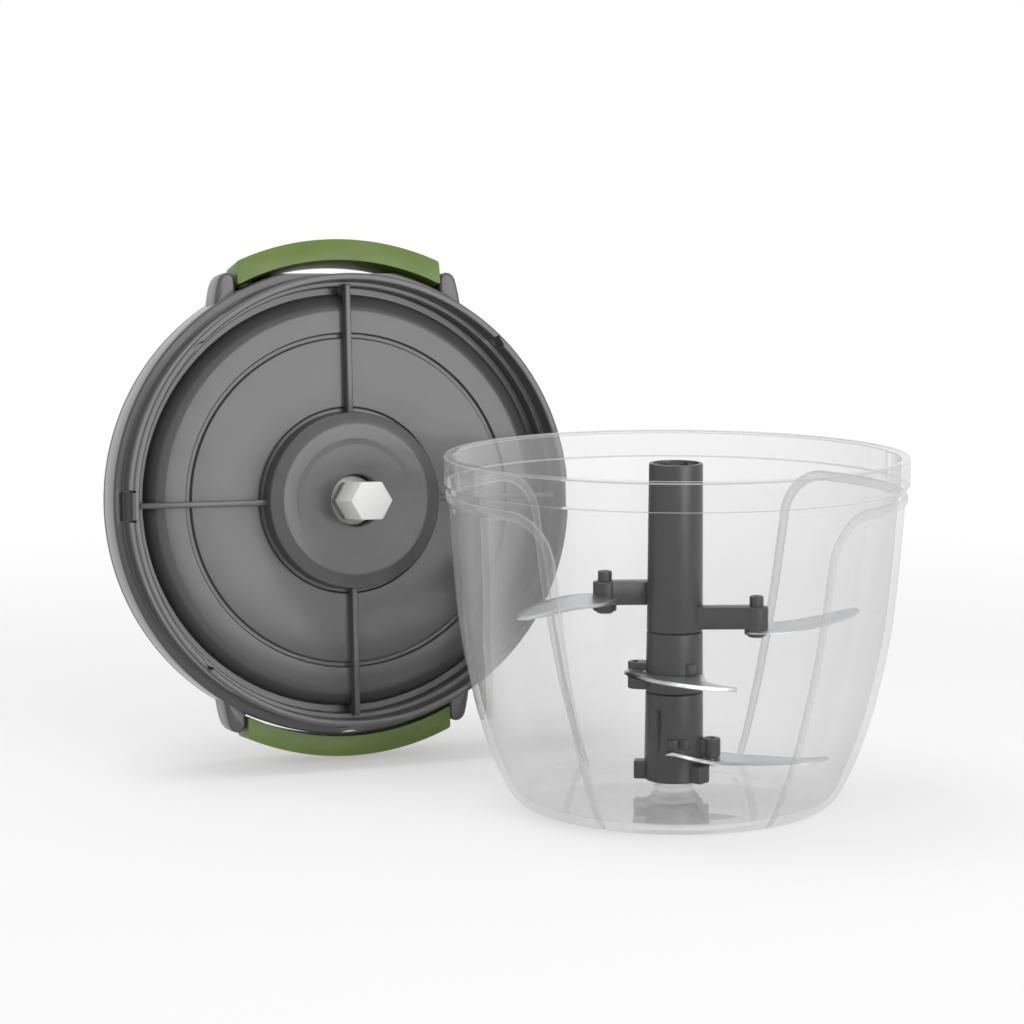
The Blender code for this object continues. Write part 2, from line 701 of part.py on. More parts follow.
def nubs(name, angles, bottom, frame):
    found = []
    for i, angle in enumerate(angles):
        reach = column_radius(bottom) - NUB_RADIUS * 0.35
        nub = rod("%s_%d" % (name, i), NUB_RADIUS, bottom, bottom + NUB_HEIGHT, frame, None, CUTTERS, 16)
        found.append(moved(nub, (reach * math.cos(angle), reach * math.sin(angle), 0)))
    return found


def lug_body(name, angle, bottom, top, frame):
    """A round boss with a web back to the column."""
    x, y = lug_spot(angle)
    boss = moved(rod(name + "_boss", LUG_RADIUS, bottom, top, frame, None, CUTTERS), (x, y, 0))
    web = block(name + "_web", (0, -LUG_RADIUS, bottom), (LUG_REACH, LUG_RADIUS, top), frame, CUTTERS)
    return [boss, moved(web, turn=(0, 0, angle))]


def lug_hole(name, angle, bottom, top, frame):
    x, y = lug_spot(angle)
    return moved(rod(name, BLADE_PIN_RADIUS + PIN_GAP, bottom, top, frame, None, CUTTERS), (x, y, 0))


def lug_slot(name, angle, bottom, top, frame):
    """The slit in a lug that the blade's root lies in: outside the column only."""
    slot = block(name, (column_radius(bottom), -2 * LUG_RADIUS, bottom),
                 (2 * LUG_REACH, 2 * LUG_RADIUS, top), frame, CUTTERS)
    return moved(slot, turn=(0, 0, angle))


def make_middle_hub(frame):
    hub = hub_body("middle_hub", LOWER_JOINT + GAP / 2, UPPER_JOINT - GAP / 2, frame)
    top = MIDDLE_LUG_TOP
    join(hub, *lug_body("middle_lug", MIDDLE_LUG_ANGLE, MIDDLE_LUG_BOTTOM, top, frame))
    slot_bottom = MIDDLE_BLADE_HEIGHT - GAP
    slot_top = MIDDLE_BLADE_HEIGHT + BLADE_THICK + GAP
    cut(hub, lug_slot("middle_slot", MIDDLE_LUG_ANGLE, slot_bottom, slot_top, frame))
    cut(hub, lug_hole("middle_lug_hole", MIDDLE_LUG_ANGLE, MIDDLE_LUG_BOTTOM - CUT_OVER, top + CUT_OVER,
                      frame))
    join(hub, *nubs("middle_nub", (MIDDLE_NUB_ANGLE,), slot_top, frame))
    cut(hub, hex_hole("middle_spine_hole", SPINE_ACROSS + 2 * GAP, LOWER_JOINT - CUT_OVER,
                      UPPER_JOINT + CUT_OVER, frame))


def make_lower_hub(frame):
    bottom = column_floor()
    hub = hub_body("lower_hub", bottom, LOWER_JOINT - GAP / 2, frame)
    lug_bottom = LOWER_BLADE_HEIGHT + BLADE_THICK + GAP
    join(hub, *lug_body("lower_lug", LOWER_LUG_ANGLE, lug_bottom, LOWER_LUG_TOP, frame))
    join(hub, *nubs("lower_nub", LOWER_NUB_ANGLES, lug_bottom + LOWER_BLADE_RISE, frame))
    for i, angle in enumerate(FOOT_LUG_ANGLES):
        lug = block("foot_lug_%d" % i, (0, -FOOT_LUG_WIDTH / 2, bottom),
                    (FOOT_LUG_REACH, FOOT_LUG_WIDTH / 2, bottom + FOOT_LUG_HEIGHT), frame, CUTTERS)
        join(hub, moved(lug, turn=(0, 0, angle)))
    cut(hub, lug_hole("lower_lug_hole", LOWER_LUG_ANGLE, lug_bottom - CUT_OVER, LOWER_LUG_TOP + CUT_OVER,
                      frame))
    cut(hub, hex_hole("lower_spine_hole", SPINE_ACROSS + 2 * GAP, bottom - CUT_OVER, LOWER_JOINT + CUT_OVER,
                      frame))
    cut(hub, rod("lower_flange_hole", SPINE_FLANGE_RADIUS + GAP, bottom - CUT_OVER,
                 bottom + SPINE_FLANGE_THICK + GAP, frame, None, CUTTERS))
    switch_solver(hub)


def make_spine(frame):
    """The hexagonal rod that carries the three hubs and turns on the bowl's post."""
    bottom = column_floor()
    spine = plate("column_spine", [hexagon(SPINE_ACROSS)], bottom + SPINE_FLANGE_THICK / 2, SPINE_TOP, frame,
                  WHITE)
    join(spine, rod("spine_flange", SPINE_FLANGE_RADIUS, bottom, bottom + SPINE_FLANGE_THICK, frame, None,
                    CUTTERS, 32))
    bore_top = FLOOR_THICK + POST_BASE_HEIGHT + POST_HEIGHT + GAP
    cut(spine, rod("spine_bore", SPINE_BORE, bottom - CUT_OVER, bore_top, frame, None, CUTTERS))
    cut(spine, rod("spine_thread", SPINE_SCREW_RADIUS + PIN_GAP, SPINE_TOP - SPINE_SCREW_DEPTH,
                   SPINE_TOP + CUT_OVER,
                   frame, None, CUTTERS))
    floor = COLUMN_TOP - SOCKET_DEPTH
    head = floor + GAP
    screw = [(0, head + SPINE_SCREW_HEAD_THICK), (SPINE_SCREW_HEAD, head + SPINE_SCREW_HEAD_THICK),
             (SPINE_SCREW_HEAD, head), (SPINE_SCREW_RADIUS, head),
             (SPINE_SCREW_RADIUS, SPINE_TOP - SPINE_SCREW_DEPTH + GAP),
             (0, SPINE_TOP - SPINE_SCREW_DEPTH + GAP)]
    turned("column_screw", screw, frame, STEEL, steps=SMALL_STEPS)


def lifted(blade, lift):
    """Bends a flat blade up by a height that depends on the place in its plan."""
    for vertex in blade.data.vertices:
        vertex.co.z += lift(vertex.co.x, vertex.co.y)
    return blade


def inner_blade(name, edges, reach, turn, height, hole_angle, frame):
    least = COLUMN_FOOT_RADIUS + 1.5 * GAP
    lead, trail = polar_outline(*edges, reach, turn, least)
    start = turn + math.radians(edges[0][0][1])
    end = turn + math.radians(edges[1][-1][1])
    arc = [(least * math.cos(end + (start - end) * i / 14), least * math.sin(end + (start - end) * i / 14))
           for i in range(15)]
    hole = circle(BLADE_PIN_RADIUS + BLADE_BORE_GAP, 16, lug_spot(hole_angle))
    return plate(name, [lead + trail + arc, hole], height, height + BLADE_THICK, frame, STEEL)


def blade_reach(height, clearance):
    """How far a blade at this height reaches, short of the bowl's inside."""
    return wall_radius(height) - BOWL_WALL - clearance


def upper_reach():
    return blade_reach(RIGHT_ARM_BOTTOM, UPPER_BLADE_CLEARANCE)


def upper_lift(x, y):
    share = (math.hypot(x, y) - ARM_REACH) / (upper_reach() - ARM_REACH)
    return UPPER_BLADE_RISE * max(share, 0) ** 2


def lower_lift(x, y):
    behind = LOWER_BLADE_TURN - math.radians(30) - math.atan2(y, x)
    return LOWER_BLADE_RISE * min(max(behind / math.radians(60), 0), 1)


def make_blades(frame):
    reach = upper_reach()
    outline = smooth_line([(reach * x, reach * y) for x, y in UPPER_BLADE_SHARES], 2)
    hole = circle(BLADE_PIN_RADIUS + BLADE_BORE_GAP, 16, (ARM_REACH, -ARM_OFFSET))
    for name, bottom, turn in (("upper_right_blade", RIGHT_ARM_BOTTOM, 0.0),
                               ("upper_left_blade", LEFT_ARM_BOTTOM, math.pi)):
        height = bottom - GAP - BLADE_THICK
        blade = lifted(plate(name, [outline, hole], height, height + BLADE_THICK, frame, STEEL), upper_lift)
        moved(blade, turn=(0, 0, turn))
    edges = (LOWER_LEAD_SHARES, LOWER_TRAIL_SHARES)
    reach = blade_reach(LOWER_BLADE_HEIGHT, LOWER_BLADE_CLEARANCE)
    lower = inner_blade("lower_blade", edges, reach, LOWER_BLADE_TURN, LOWER_BLADE_HEIGHT, LOWER_LUG_ANGLE,
                        frame)
    lifted(lower, lower_lift)
    edges = (MIDDLE_LEAD_SHARES, MIDDLE_TRAIL_SHARES)
    inner_blade("middle_blade", edges, MIDDLE_BLADE_REACH, MIDDLE_BLADE_TURN, MIDDLE_BLADE_HEIGHT,
                MIDDLE_LUG_ANGLE, frame)
    make_blade_pins(frame)


def make_arm_pin(name, side, arm_bottom, arm_top, frame):
    """The stub on top of an arm, with the shank that goes through arm and blade to a head below."""
    stub = arm_top + GAP
    head = arm_bottom - 2 * GAP - BLADE_THICK
    ease = ARM_STUB_RADIUS * 0.2
    profile = [(0, stub + ARM_STUB_HEIGHT), (ARM_STUB_RADIUS - 2 * ease, stub + ARM_STUB_HEIGHT),
               (ARM_STUB_RADIUS - ease, stub + ARM_STUB_HEIGHT - ease), (ARM_STUB_RADIUS, stub),
               (BLADE_PIN_RADIUS, stub),
               (BLADE_PIN_RADIUS, head), (BLADE_PIN_HEAD, head),
               (BLADE_PIN_HEAD, head - BLADE_PIN_HEAD_THICK + ease),
               (BLADE_PIN_HEAD - ease, head - BLADE_PIN_HEAD_THICK), (0, head - BLADE_PIN_HEAD_THICK)]
    pin = turned(name, profile, frame, COLUMN_GREY, steps=SMALL_STEPS)
    moved(pin, (side * ARM_REACH, -side * ARM_OFFSET, 0))


def make_blade_pins(frame):
    make_arm_pin("upper_right_pin", 1, RIGHT_ARM_BOTTOM, RIGHT_ARM_TOP, frame)
    make_arm_pin("upper_left_pin", -1, LEFT_ARM_BOTTOM, LEFT_ARM_TOP, frame)
    lower = LOWER_BLADE_HEIGHT - GAP
    profile = [(0, LOWER_LUG_TOP - LUG_PIN_SINK), (BLADE_PIN_RADIUS, LOWER_LUG_TOP - LUG_PIN_SINK),
               (BLADE_PIN_RADIUS, lower),
               (BLADE_PIN_HEAD * 0.8, lower), (BLADE_PIN_HEAD * 0.8, lower - BLADE_PIN_HEAD_THICK),
               (0, lower - BLADE_PIN_HEAD_THICK)]
    lower_pin = turned("lower_blade_pin", profile, frame, STEEL, steps=SMALL_STEPS)
    moved(lower_pin, (*lug_spot(LOWER_LUG_ANGLE), 0))
    middle_pin = rod("middle_blade_pin", BLADE_PIN_RADIUS, MIDDLE_LUG_BOTTOM + GAP,
                     MIDDLE_LUG_TOP - LUG_PIN_SINK, frame, STEEL)
    moved(middle_pin, (*lug_spot(MIDDLE_LUG_ANGLE), 0))


def make_column():
    frame = empty("column_frame", turn=(0, 0, COLUMN_TURN))
    make_upper_hub(frame)
    make_middle_hub(frame)
    make_lower_hub(frame)
    make_spine(frame)
    make_blades(frame)


# Lid base
def cove_points(lift):
    """The hollow between the plate's step and the skirt, from the step outwards."""
    start = PLATE_STEP_RADIUS + PLATE_STEP_WIDTH
    found = []
    for i in range(5):
        sweep = math.radians(90) * i / 4
        found.append((start + (COVE_RADIUS - start) * math.sin(sweep),
                      -PLATE_DEPTH + lift + PLATE_DEPTH * (1 - math.cos(sweep))))
    return found


def lid_profile():
    face = -SKIRT_DEPTH
    hub_inner = HUB_RADIUS - LID_WALL
    plate_top = -PLATE_DEPTH + LID_WALL
    hub_floor = face + LID_WALL + HUB_DISH
    inside = [(HUB_HOLE, -SLEEVE_TOP_DEPTH), (HUB_HOLE + SLEEVE_WALL, -SLEEVE_TOP_DEPTH),
              (HUB_HOLE + SLEEVE_WALL, hub_floor), (hub_inner, hub_floor), (hub_inner, GUIDE_HEIGHT),
              (hub_inner + GUIDE_WALL, GUIDE_HEIGHT), (hub_inner + GUIDE_WALL, plate_top)]
    top = cove_points(LID_WALL) + [(LID_RADIUS - LID_WALL, LID_WALL),
                                   (LID_RADIUS - LID_WALL, LID_BODY_HEIGHT),
                                   (LID_RADIUS, LID_BODY_HEIGHT)]
    outside = [(LID_RADIUS, 0), (SKIRT_OUTER, 0), (SKIRT_OUTER, face), (SKIRT_INNER, face),
               (SKIRT_INNER, -RIM_SEAT_DEPTH), (RIM_SEAT_INNER, -RIM_SEAT_DEPTH), (RIM_SEAT_INNER, 0)]
    step_r = PLATE_STEP_RADIUS
    step_z = -PLATE_DEPTH + PLATE_STEP_DEPTH
    under = cove_points(0)[::-1] + [(step_r + PLATE_STEP_WIDTH, step_z), (step_r, step_z),
                                    (step_r, -PLATE_DEPTH)]
    hub = [(HUB_RADIUS, -PLATE_DEPTH), (HUB_RADIUS, face + HUB_ROUND)]
    for degrees in (45, 90):
        sweep = math.radians(degrees)
        hub.append((HUB_RADIUS - HUB_ROUND * (1 - math.cos(sweep)),
                    face + HUB_ROUND * (1 - math.sin(sweep))))
    dish = [(HUB_DISH_RADIUS, face), (HUB_DISH_RADIUS - HUB_DISH, face + HUB_DISH),
            (HUB_HOLE, face + HUB_DISH)]
    return inside + top + outside + under + hub + dish


def lid_ears(frame):
    ears = []
    for up in (1, -1):
        for side in (1, -1):
            outline = [(side * LID_RADIUS * across, up * LID_RADIUS * along) for across, along in EAR_SHARES]
            ears.append(plate("ear_%d_%d" % (up, side), [outline], EAR_FRONT, EAR_HEIGHT - GAP, frame, None,
                              CUTTERS))
    return ears


def drilled_pillar(name, bottom, top, frame):
    """A round pillar with a blind screw hole in its top."""
    screw = SCREW_RADIUS + PIN_GAP
    profile = [(screw, top), (PILLAR_RADIUS, top), (PILLAR_RADIUS, bottom), (0, bottom),
               (0, top - SCREW_DEPTH),
               (screw, top - SCREW_DEPTH)]
    return turned(name, profile, frame, None, CUTTERS, 12)


def carrier_screw_spots():
    return ring_places(3, CARRIER_PILLAR_REACH, FIRST_PLANET + math.pi / 3)


def lid_pillars(frame):
    low = drilled_pillar("carrier_pillar", -SKIRT_DEPTH + LID_WALL, CARRIER_BOTTOM - GAP, frame)
    high = drilled_pillar("cover_pillar", -PLATE_DEPTH + LID_WALL / 2, LID_BODY_HEIGHT, frame)
    return [pattern("carrier_pillars", low, carrier_screw_spots()),
            pattern("cover_pillars", high, cover_screw_spots())]


def make_lid_base(frame):
    base = turned("lid_base", lid_profile(), frame, LID_GREY)
    rib_top = -PLATE_DEPTH + LID_WALL / 2
    ribs = []
    for i in range(4):
        rib = block("plate_rib_%d" % i, (HUB_RADIUS - LID_WALL / 2, -RIB_WIDTH / 2, -RIB_DEPTH),
                    (RIM_SEAT_INNER + (SKIRT_INNER - RIM_SEAT_INNER) / 2, RIB_WIDTH / 2, rib_top + LID_WALL),
                    frame, CUTTERS)
        ribs.append(moved(rib, turn=(0, 0, i * math.pi / 2)))
    join(base, *ribs, *lid_ears(frame), *lid_pillars(frame))
    for i, side in enumerate((0.0, math.pi)):
        for edge in (-1, 1):
            y = edge * TAB_WIDTH / 2
            slot = block("tab_slot_%d_%d" % (i, edge),
                         (SKIRT_INNER - CUT_OVER, y - TAB_SLOT / 2, -SKIRT_DEPTH - CUT_OVER),
                         (SKIRT_OUTER + CUT_OVER, y + TAB_SLOT / 2, -LID_WALL), frame, CUTTERS)
            cut(base, moved(slot, turn=(0, 0, side)))
        relief = block("tab_relief_%d" % i,
                       (SKIRT_INNER + TAB_THICK, -TAB_WIDTH / 2 + TAB_SLOT / 4, -SKIRT_DEPTH - CUT_OVER),
                       (SKIRT_OUTER + CUT_OVER, TAB_WIDTH / 2 - TAB_SLOT / 4, -SKIRT_DEPTH / 2), frame,
                       CUTTERS)
        cut(base, moved(relief, turn=(0, 0, side)))
    for i in range(4):
        nick = block("skirt_nick_%d" % i,
                     (SKIRT_OUTER - NICK_DEPTH, -NICK_WIDTH / 2, -SKIRT_DEPTH - CUT_OVER),
                     (SKIRT_OUTER + CUT_OVER, NICK_WIDTH / 2, -SKIRT_DEPTH / 2), frame, CUTTERS)
        cut(base, moved(nick, turn=(0, 0, math.radians(45 + 90 * i))))
    cut(base, *ear_holes(frame))


def pin_rod(name, radius, start, end, frame, finish=None, group=None, rise=0.0, back=0.0):
    """A short rod along X between two distances from the lid's middle."""
    mesh = bpy.data.meshes.new(name)
    shape = bmesh.new()
    place = Matrix.Translation(((start + end) / 2, rise, back)) @ Matrix.Rotation(math.pi / 2, 4, "Y")
    bmesh.ops.create_cone(shape, cap_ends=True, segments=16, radius1=radius, radius2=radius,
                          depth=abs(end - start),
                          matrix=place)
    shape.to_mesh(mesh)
    shape.free()
    return mesh_object(name, mesh, frame, finish, group)


def ear_holes(frame):
    holes = []
    for up in (-1, 1):
        for side in (-1, 1):
            name = "ear_hole_%d_%d" % (up, side)
            holes.append(pin_rod(name, CLIP_PIN_RADIUS + PIN_GAP, side * (EAR_INSIDE - CUT_OVER),
                                 side * (CLIP_PIN_OUTSET + GAP), frame,
                                 None, CUTTERS, up * CLIP_HINGE_RISE, CLIP_HINGE_BACK))
    return holes


def make_cover(frame):
    rise = COVER_HEIGHT - LID_BODY_HEIGHT
    outside = [(LID_RADIUS * across, LID_BODY_HEIGHT + GAP + (rise - GAP) * up) for across,
               up in COVER_SHARES]
    under = [(radius - COVER_THICK * 0.4, height - COVER_THICK) for radius, height in outside[2:]]
    sleeve_bottom = RING_WEB_BOTTOM + RING_WEB_THICK + GAP
    sleeve_outer = COVER_BORE + COVER_SLEEVE_WALL
    base = LID_BODY_HEIGHT + GAP
    lip = LID_RADIUS - LID_WALL - GAP
    profile = [(COVER_BORE, sleeve_bottom), (COVER_BORE, COVER_HEIGHT)]
    profile += outside[::-1]
    profile += [(lip, base), (lip, base - COVER_LIP), (lip - COVER_LIP, base - COVER_LIP),
                (lip - COVER_LIP, base)]
    profile += under
    profile += [(sleeve_outer, COVER_HEIGHT - COVER_THICK), (sleeve_outer, sleeve_bottom)]
    return turned("lid_cover", profile, frame, LID_GREY)


def cover_screw_spots():
    return ring_places(4, COVER_PILLAR_REACH, math.radians(45))


def cover_top_at(reach):
    rise = COVER_HEIGHT - LID_BODY_HEIGHT
    marks = [(LID_RADIUS * across, LID_BODY_HEIGHT + GAP + (rise - GAP) * up) for across, up in COVER_SHARES]
    for (outer_r, outer_z), (inner_r, inner_z) in zip(marks, marks[1:]):
        if inner_r <= reach <= outer_r and outer_r > inner_r:
            return outer_z + (inner_z - outer_z) * (outer_r - reach) / (outer_r - inner_r)
    return COVER_HEIGHT


def make_cover_screws(frame, cover):
    top = cover_top_at(COVER_PILLAR_REACH)
    seat = top - SCREW_HEAD_THICK - 2 * GAP
    boss = rod("cover_boss", PILLAR_RADIUS, LID_BODY_HEIGHT + GAP, top - COVER_THICK / 2, frame, None,
               CUTTERS, 16)
    join(cover, pattern("cover_bosses", boss, cover_screw_spots()))
    pocket = [(0, top + CUT_OVER), (SCREW_HEAD_RADIUS + GAP, top + CUT_OVER),
              (SCREW_HEAD_RADIUS + GAP, seat),
              (SCREW_RADIUS + PIN_GAP, seat), (SCREW_RADIUS + PIN_GAP, LID_BODY_HEIGHT - CUT_OVER),
              (0, LID_BODY_HEIGHT - CUT_OVER)]
    hole = turned("cover_pocket", pocket, frame, None, CUTTERS, 16)
    cut(cover, pattern("cover_pockets", hole, cover_screw_spots()))
    head = seat + GAP
    profile = [(0, head + SCREW_HEAD_THICK), (SCREW_HEAD_RADIUS, head + SCREW_HEAD_THICK),
               (SCREW_HEAD_RADIUS, head),
               (SCREW_RADIUS, head), (SCREW_RADIUS, LID_BODY_HEIGHT - SCREW_DEPTH + GAP),
               (0, LID_BODY_HEIGHT - SCREW_DEPTH + GAP)]
    repeated("cover_screw", turned("cover_screw", profile, frame, STEEL, steps=16), cover_screw_spots())


# Gears
def gear_outline(teeth, phase, inward=False):
    """Straight-flanked teeth, thinned for running play, with one tooth centred on the phase angle."""
    pitch_radius = GEAR_MODULE * teeth / 2
    rise = GEAR_MODULE * ADDENDUM_SHARE
    drop = GEAR_MODULE * DEDENDUM_SHARE
    half = math.pi * GEAR_MODULE * TOOTH_SHARE / 2
    slope = math.tan(FLANK_ANGLE)
    if inward:
        root, tip = pitch_radius + drop, pitch_radius - rise
    else:
        root, tip = pitch_radius - drop, pitch_radius + rise
    root_half = (half + drop * slope) / root
    tip_half = (half - rise * slope) / tip
    points = []
    for i in range(teeth):
        middle = phase + i * math.tau / teeth
        for radius, offset in ((root, -root_half), (tip, -tip_half), (tip, tip_half), (root, root_half)):
            points.append((radius * math.cos(middle + offset), radius * math.sin(middle + offset)))
    return points


def make_gears(frame):
    bottom = CARRIER_BOTTOM + CARRIER_THICK + GAP
    top = bottom + GEAR_WIDTH
    planet_reach = GEAR_MODULE * (PINION_TEETH + PLANET_TEETH) / 2
    spots = ring_places(PLANET_COUNT, planet_reach, FIRST_PLANET)
    planet_pitch = math.tau / PLANET_TEETH
    ring_phase = FIRST_PLANET + math.pi / RING_TEETH
    for i, (x, y) in enumerate(spots):
        phase = math.atan2(y, x) + math.pi - planet_pitch / 2
        loops = [gear_outline(PLANET_TEETH, phase), circle(PLANET_PIN_RADIUS + PIN_GAP, 20)]
        planet = plate("planet_gear_%d" % (i + 1), loops, bottom, top, frame, WHITE)
        moved(planet, (x, y, 0))
    loops = [gear_outline(PINION_TEETH, FIRST_PLANET), hexagon(PINION_SEAT_ACROSS + 2 * GAP)]
    plate("sun_pinion", loops, bottom, top, frame, WHITE)
    make_carrier(frame, spots, top)
    make_ring_gear(frame, bottom, ring_phase)
    make_shaft(frame, top)


def make_carrier(frame, spots, gear_top):
    top = CARRIER_BOTTOM + CARRIER_THICK
    holes = [circle(PLANET_PIN_RADIUS + PIN_GAP, 16, (x, y)) for x, y in spots]
    screw_spots = carrier_screw_spots()
    holes += [circle(SCREW_RADIUS + PIN_GAP, 12, (x, y)) for x, y in screw_spots]
    outline = circle(CARRIER_RADIUS, ROUND_STEPS)
    loops = [outline, circle(JOURNAL_RADIUS + PIN_GAP, SMALL_STEPS), *holes]
    carrier = plate("planet_carrier", loops, CARRIER_BOTTOM, top, frame, LID_GREY)
    seat = top - SCREW_HEAD_THICK - GAP
    pocket = rod("carrier_pocket", SCREW_HEAD_RADIUS + GAP, seat, top + CUT_OVER, frame, None, CUTTERS, 16)
    cut(carrier, pattern("carrier_pockets", pocket, screw_spots))
    head = seat + GAP / 2
    tip = CARRIER_BOTTOM - SCREW_DEPTH + GAP
    profile = [(0, head + SCREW_HEAD_THICK), (SCREW_HEAD_RADIUS, head + SCREW_HEAD_THICK),
               (SCREW_HEAD_RADIUS, head),
               (SCREW_RADIUS, head), (SCREW_RADIUS, tip), (0, tip)]
    repeated("carrier_screw", turned("carrier_screw", profile, frame, STEEL, steps=16), screw_spots)
    low = CARRIER_BOTTOM - GAP
    high = gear_top + GAP
    pin = [(0, high + PLANET_PIN_HEAD_THICK), (PLANET_PIN_HEAD, high + PLANET_PIN_HEAD_THICK),
           (PLANET_PIN_HEAD, high),
           (PLANET_PIN_RADIUS, high), (PLANET_PIN_RADIUS, low), (PLANET_PIN_HEAD, low),
           (PLANET_PIN_HEAD, low - PLANET_PIN_HEAD_THICK),
           (0, low - PLANET_PIN_HEAD_THICK)]
    repeated("planet_pin", turned("planet_pin", pin, frame, STEEL, steps=16), spots)


def make_ring_gear(frame, bottom, phase):
    web_top = RING_WEB_BOTTOM + RING_WEB_THICK
    ring = plate("ring_gear", [circle(RING_OUTER, ROUND_STEPS),
                               gear_outline(RING_TEETH, phase, inward=True)], bottom,
                 RING_WEB_BOTTOM + RING_WEB_THICK / 2, frame, WHITE)
    web_radius = RING_OUTER - GAP
    boss_top = COVER_HEIGHT + CRANK_LIFT - GAP
    web = [(0, boss_top), (CRANK_BOSS_RADIUS, boss_top), (CRANK_BOSS_RADIUS, web_top), (web_radius, web_top),
           (web_radius, RING_WEB_BOTTOM), (0, RING_WEB_BOTTOM)]
    join(ring, turned("ring_web", web, frame, None, CUTTERS, ROUND_STEPS))
    join(ring, plate("crank_hex", [hexagon(CRANK_HEX_ACROSS)], boss_top - CUT_OVER,
                     boss_top + CRANK_HEX_HEIGHT, frame, None,
                     CUTTERS))
    cut(ring, rod("crank_thread", CRANK_SCREW_RADIUS + PIN_GAP, RING_WEB_BOTTOM + RING_WEB_THICK,
                  boss_top + CRANK_HEX_HEIGHT
                  + CUT_OVER, frame, None, CUTTERS, 16))


def make_shaft(frame, gear_top):
    """The white shaft: hexagon below the lid, a collar under the carrier, and a seat for the pinion."""
    face = -SKIRT_DEPTH
    collar_bottom = -SLEEVE_TOP_DEPTH - COLLAR_THICK - GAP
    collar_top = collar_bottom + COLLAR_THICK
    gear_bottom = CARRIER_BOTTOM + CARRIER_THICK + GAP
    shaft = plate("drive_shaft", [hexagon(HEX_ACROSS)], face - HEX_PROUD, collar_bottom + COLLAR_THICK / 2,
                  frame, WHITE)
    collar = [(0, gear_bottom - GAP), (JOURNAL_RADIUS, gear_bottom - GAP), (JOURNAL_RADIUS, collar_top),
              (COLLAR_RADIUS, collar_top), (COLLAR_RADIUS, collar_bottom), (0, collar_bottom)]
    join(shaft, turned("shaft_collar", collar, frame, None, CUTTERS, 32))
    join(shaft, plate("pinion_seat", [hexagon(PINION_SEAT_ACROSS)], gear_bottom - 2 * GAP, gear_top, frame,
                      None, CUTTERS))
    cut(shaft, rod("pinion_thread", SCREW_RADIUS + PIN_GAP, gear_top - SCREW_DEPTH, gear_top + CUT_OVER,
                   frame, None, CUTTERS, 16))
    head = gear_top + GAP
    tip = gear_top - SCREW_DEPTH + GAP
    profile = [(0, head + PINION_SCREW_HEAD_THICK), (PINION_SCREW_HEAD, head + PINION_SCREW_HEAD_THICK),
               (PINION_SCREW_HEAD, head), (SCREW_RADIUS, head), (SCREW_RADIUS, tip), (0, tip)]
    turned("pinion_screw", profile, frame, STEEL, steps=SMALL_STEPS)


# Crank
def crank_outline():
    """Two round ends joined by their outer tangents, the large one round the axis, the small one at -Y."""
    slope = math.asin((CRANK_HUB_RADIUS - CRANK_END_RADIUS) / CRANK_REACH)
    points = []
    for i in range(17):
        angle = -slope + (math.pi + 2 * slope) * i / 16
        points.append((CRANK_HUB_RADIUS * math.cos(angle), CRANK_HUB_RADIUS * math.sin(angle)))
    for i in range(13):
        angle = math.pi + slope + (math.pi - 2 * slope) * i / 12
        points.append((CRANK_END_RADIUS * math.cos(angle),
                       -CRANK_REACH + CRANK_END_RADIUS * math.sin(angle)))
    return points


def make_crank(frame):
    bottom = COVER_HEIGHT + CRANK_LIFT
    top = bottom + CRANK_THICK
    hub_top = top + CRANK_HUB_RISE
    arm = plate("crank_arm", [crank_outline()], bottom, top, frame, LID_GREY)
    join(arm, rod("crank_hub", CRANK_HUB_RADIUS, bottom + CRANK_THICK / 2, hub_top, frame, None, CUTTERS,
                  32))
    hex_top = bottom - GAP + CRANK_HEX_HEIGHT + GAP
    cut(arm, plate("crank_hex_hole", [hexagon(CRANK_HEX_ACROSS + 2 * GAP)], bottom - CUT_OVER, hex_top,
                   frame, None, CUTTERS))
    cut(arm, rod("crank_screw_hole", CRANK_SCREW_RADIUS + PIN_GAP, hex_top - CUT_OVER, hub_top + CUT_OVER,
                 frame, None, CUTTERS, 16))
    pocket_floor = hex_top + CRANK_SCREW_RADIUS / 2
    cut(arm, rod("crank_pocket", CRANK_CAP_RADIUS + GAP, pocket_floor, hub_top + CUT_OVER, frame, None,
                 CUTTERS, 32))
    head = pocket_floor + GAP
    tip = RING_WEB_BOTTOM + RING_WEB_THICK + GAP
    screw = [(0, head + CRANK_SCREW_HEAD_THICK), (CRANK_SCREW_HEAD, head + CRANK_SCREW_HEAD_THICK),
             (CRANK_SCREW_HEAD, head),
             (CRANK_SCREW_RADIUS, head), (CRANK_SCREW_RADIUS, tip), (0, tip)]
    turned("crank_screw", screw, frame, STEEL, steps=SMALL_STEPS)
    rod("crank_cap", CRANK_CAP_RADIUS, hub_top - CRANK_CAP_THICK, hub_top + GAP, frame, CLIP_GREEN, steps=32)
    make_knob(frame, arm, bottom, top)


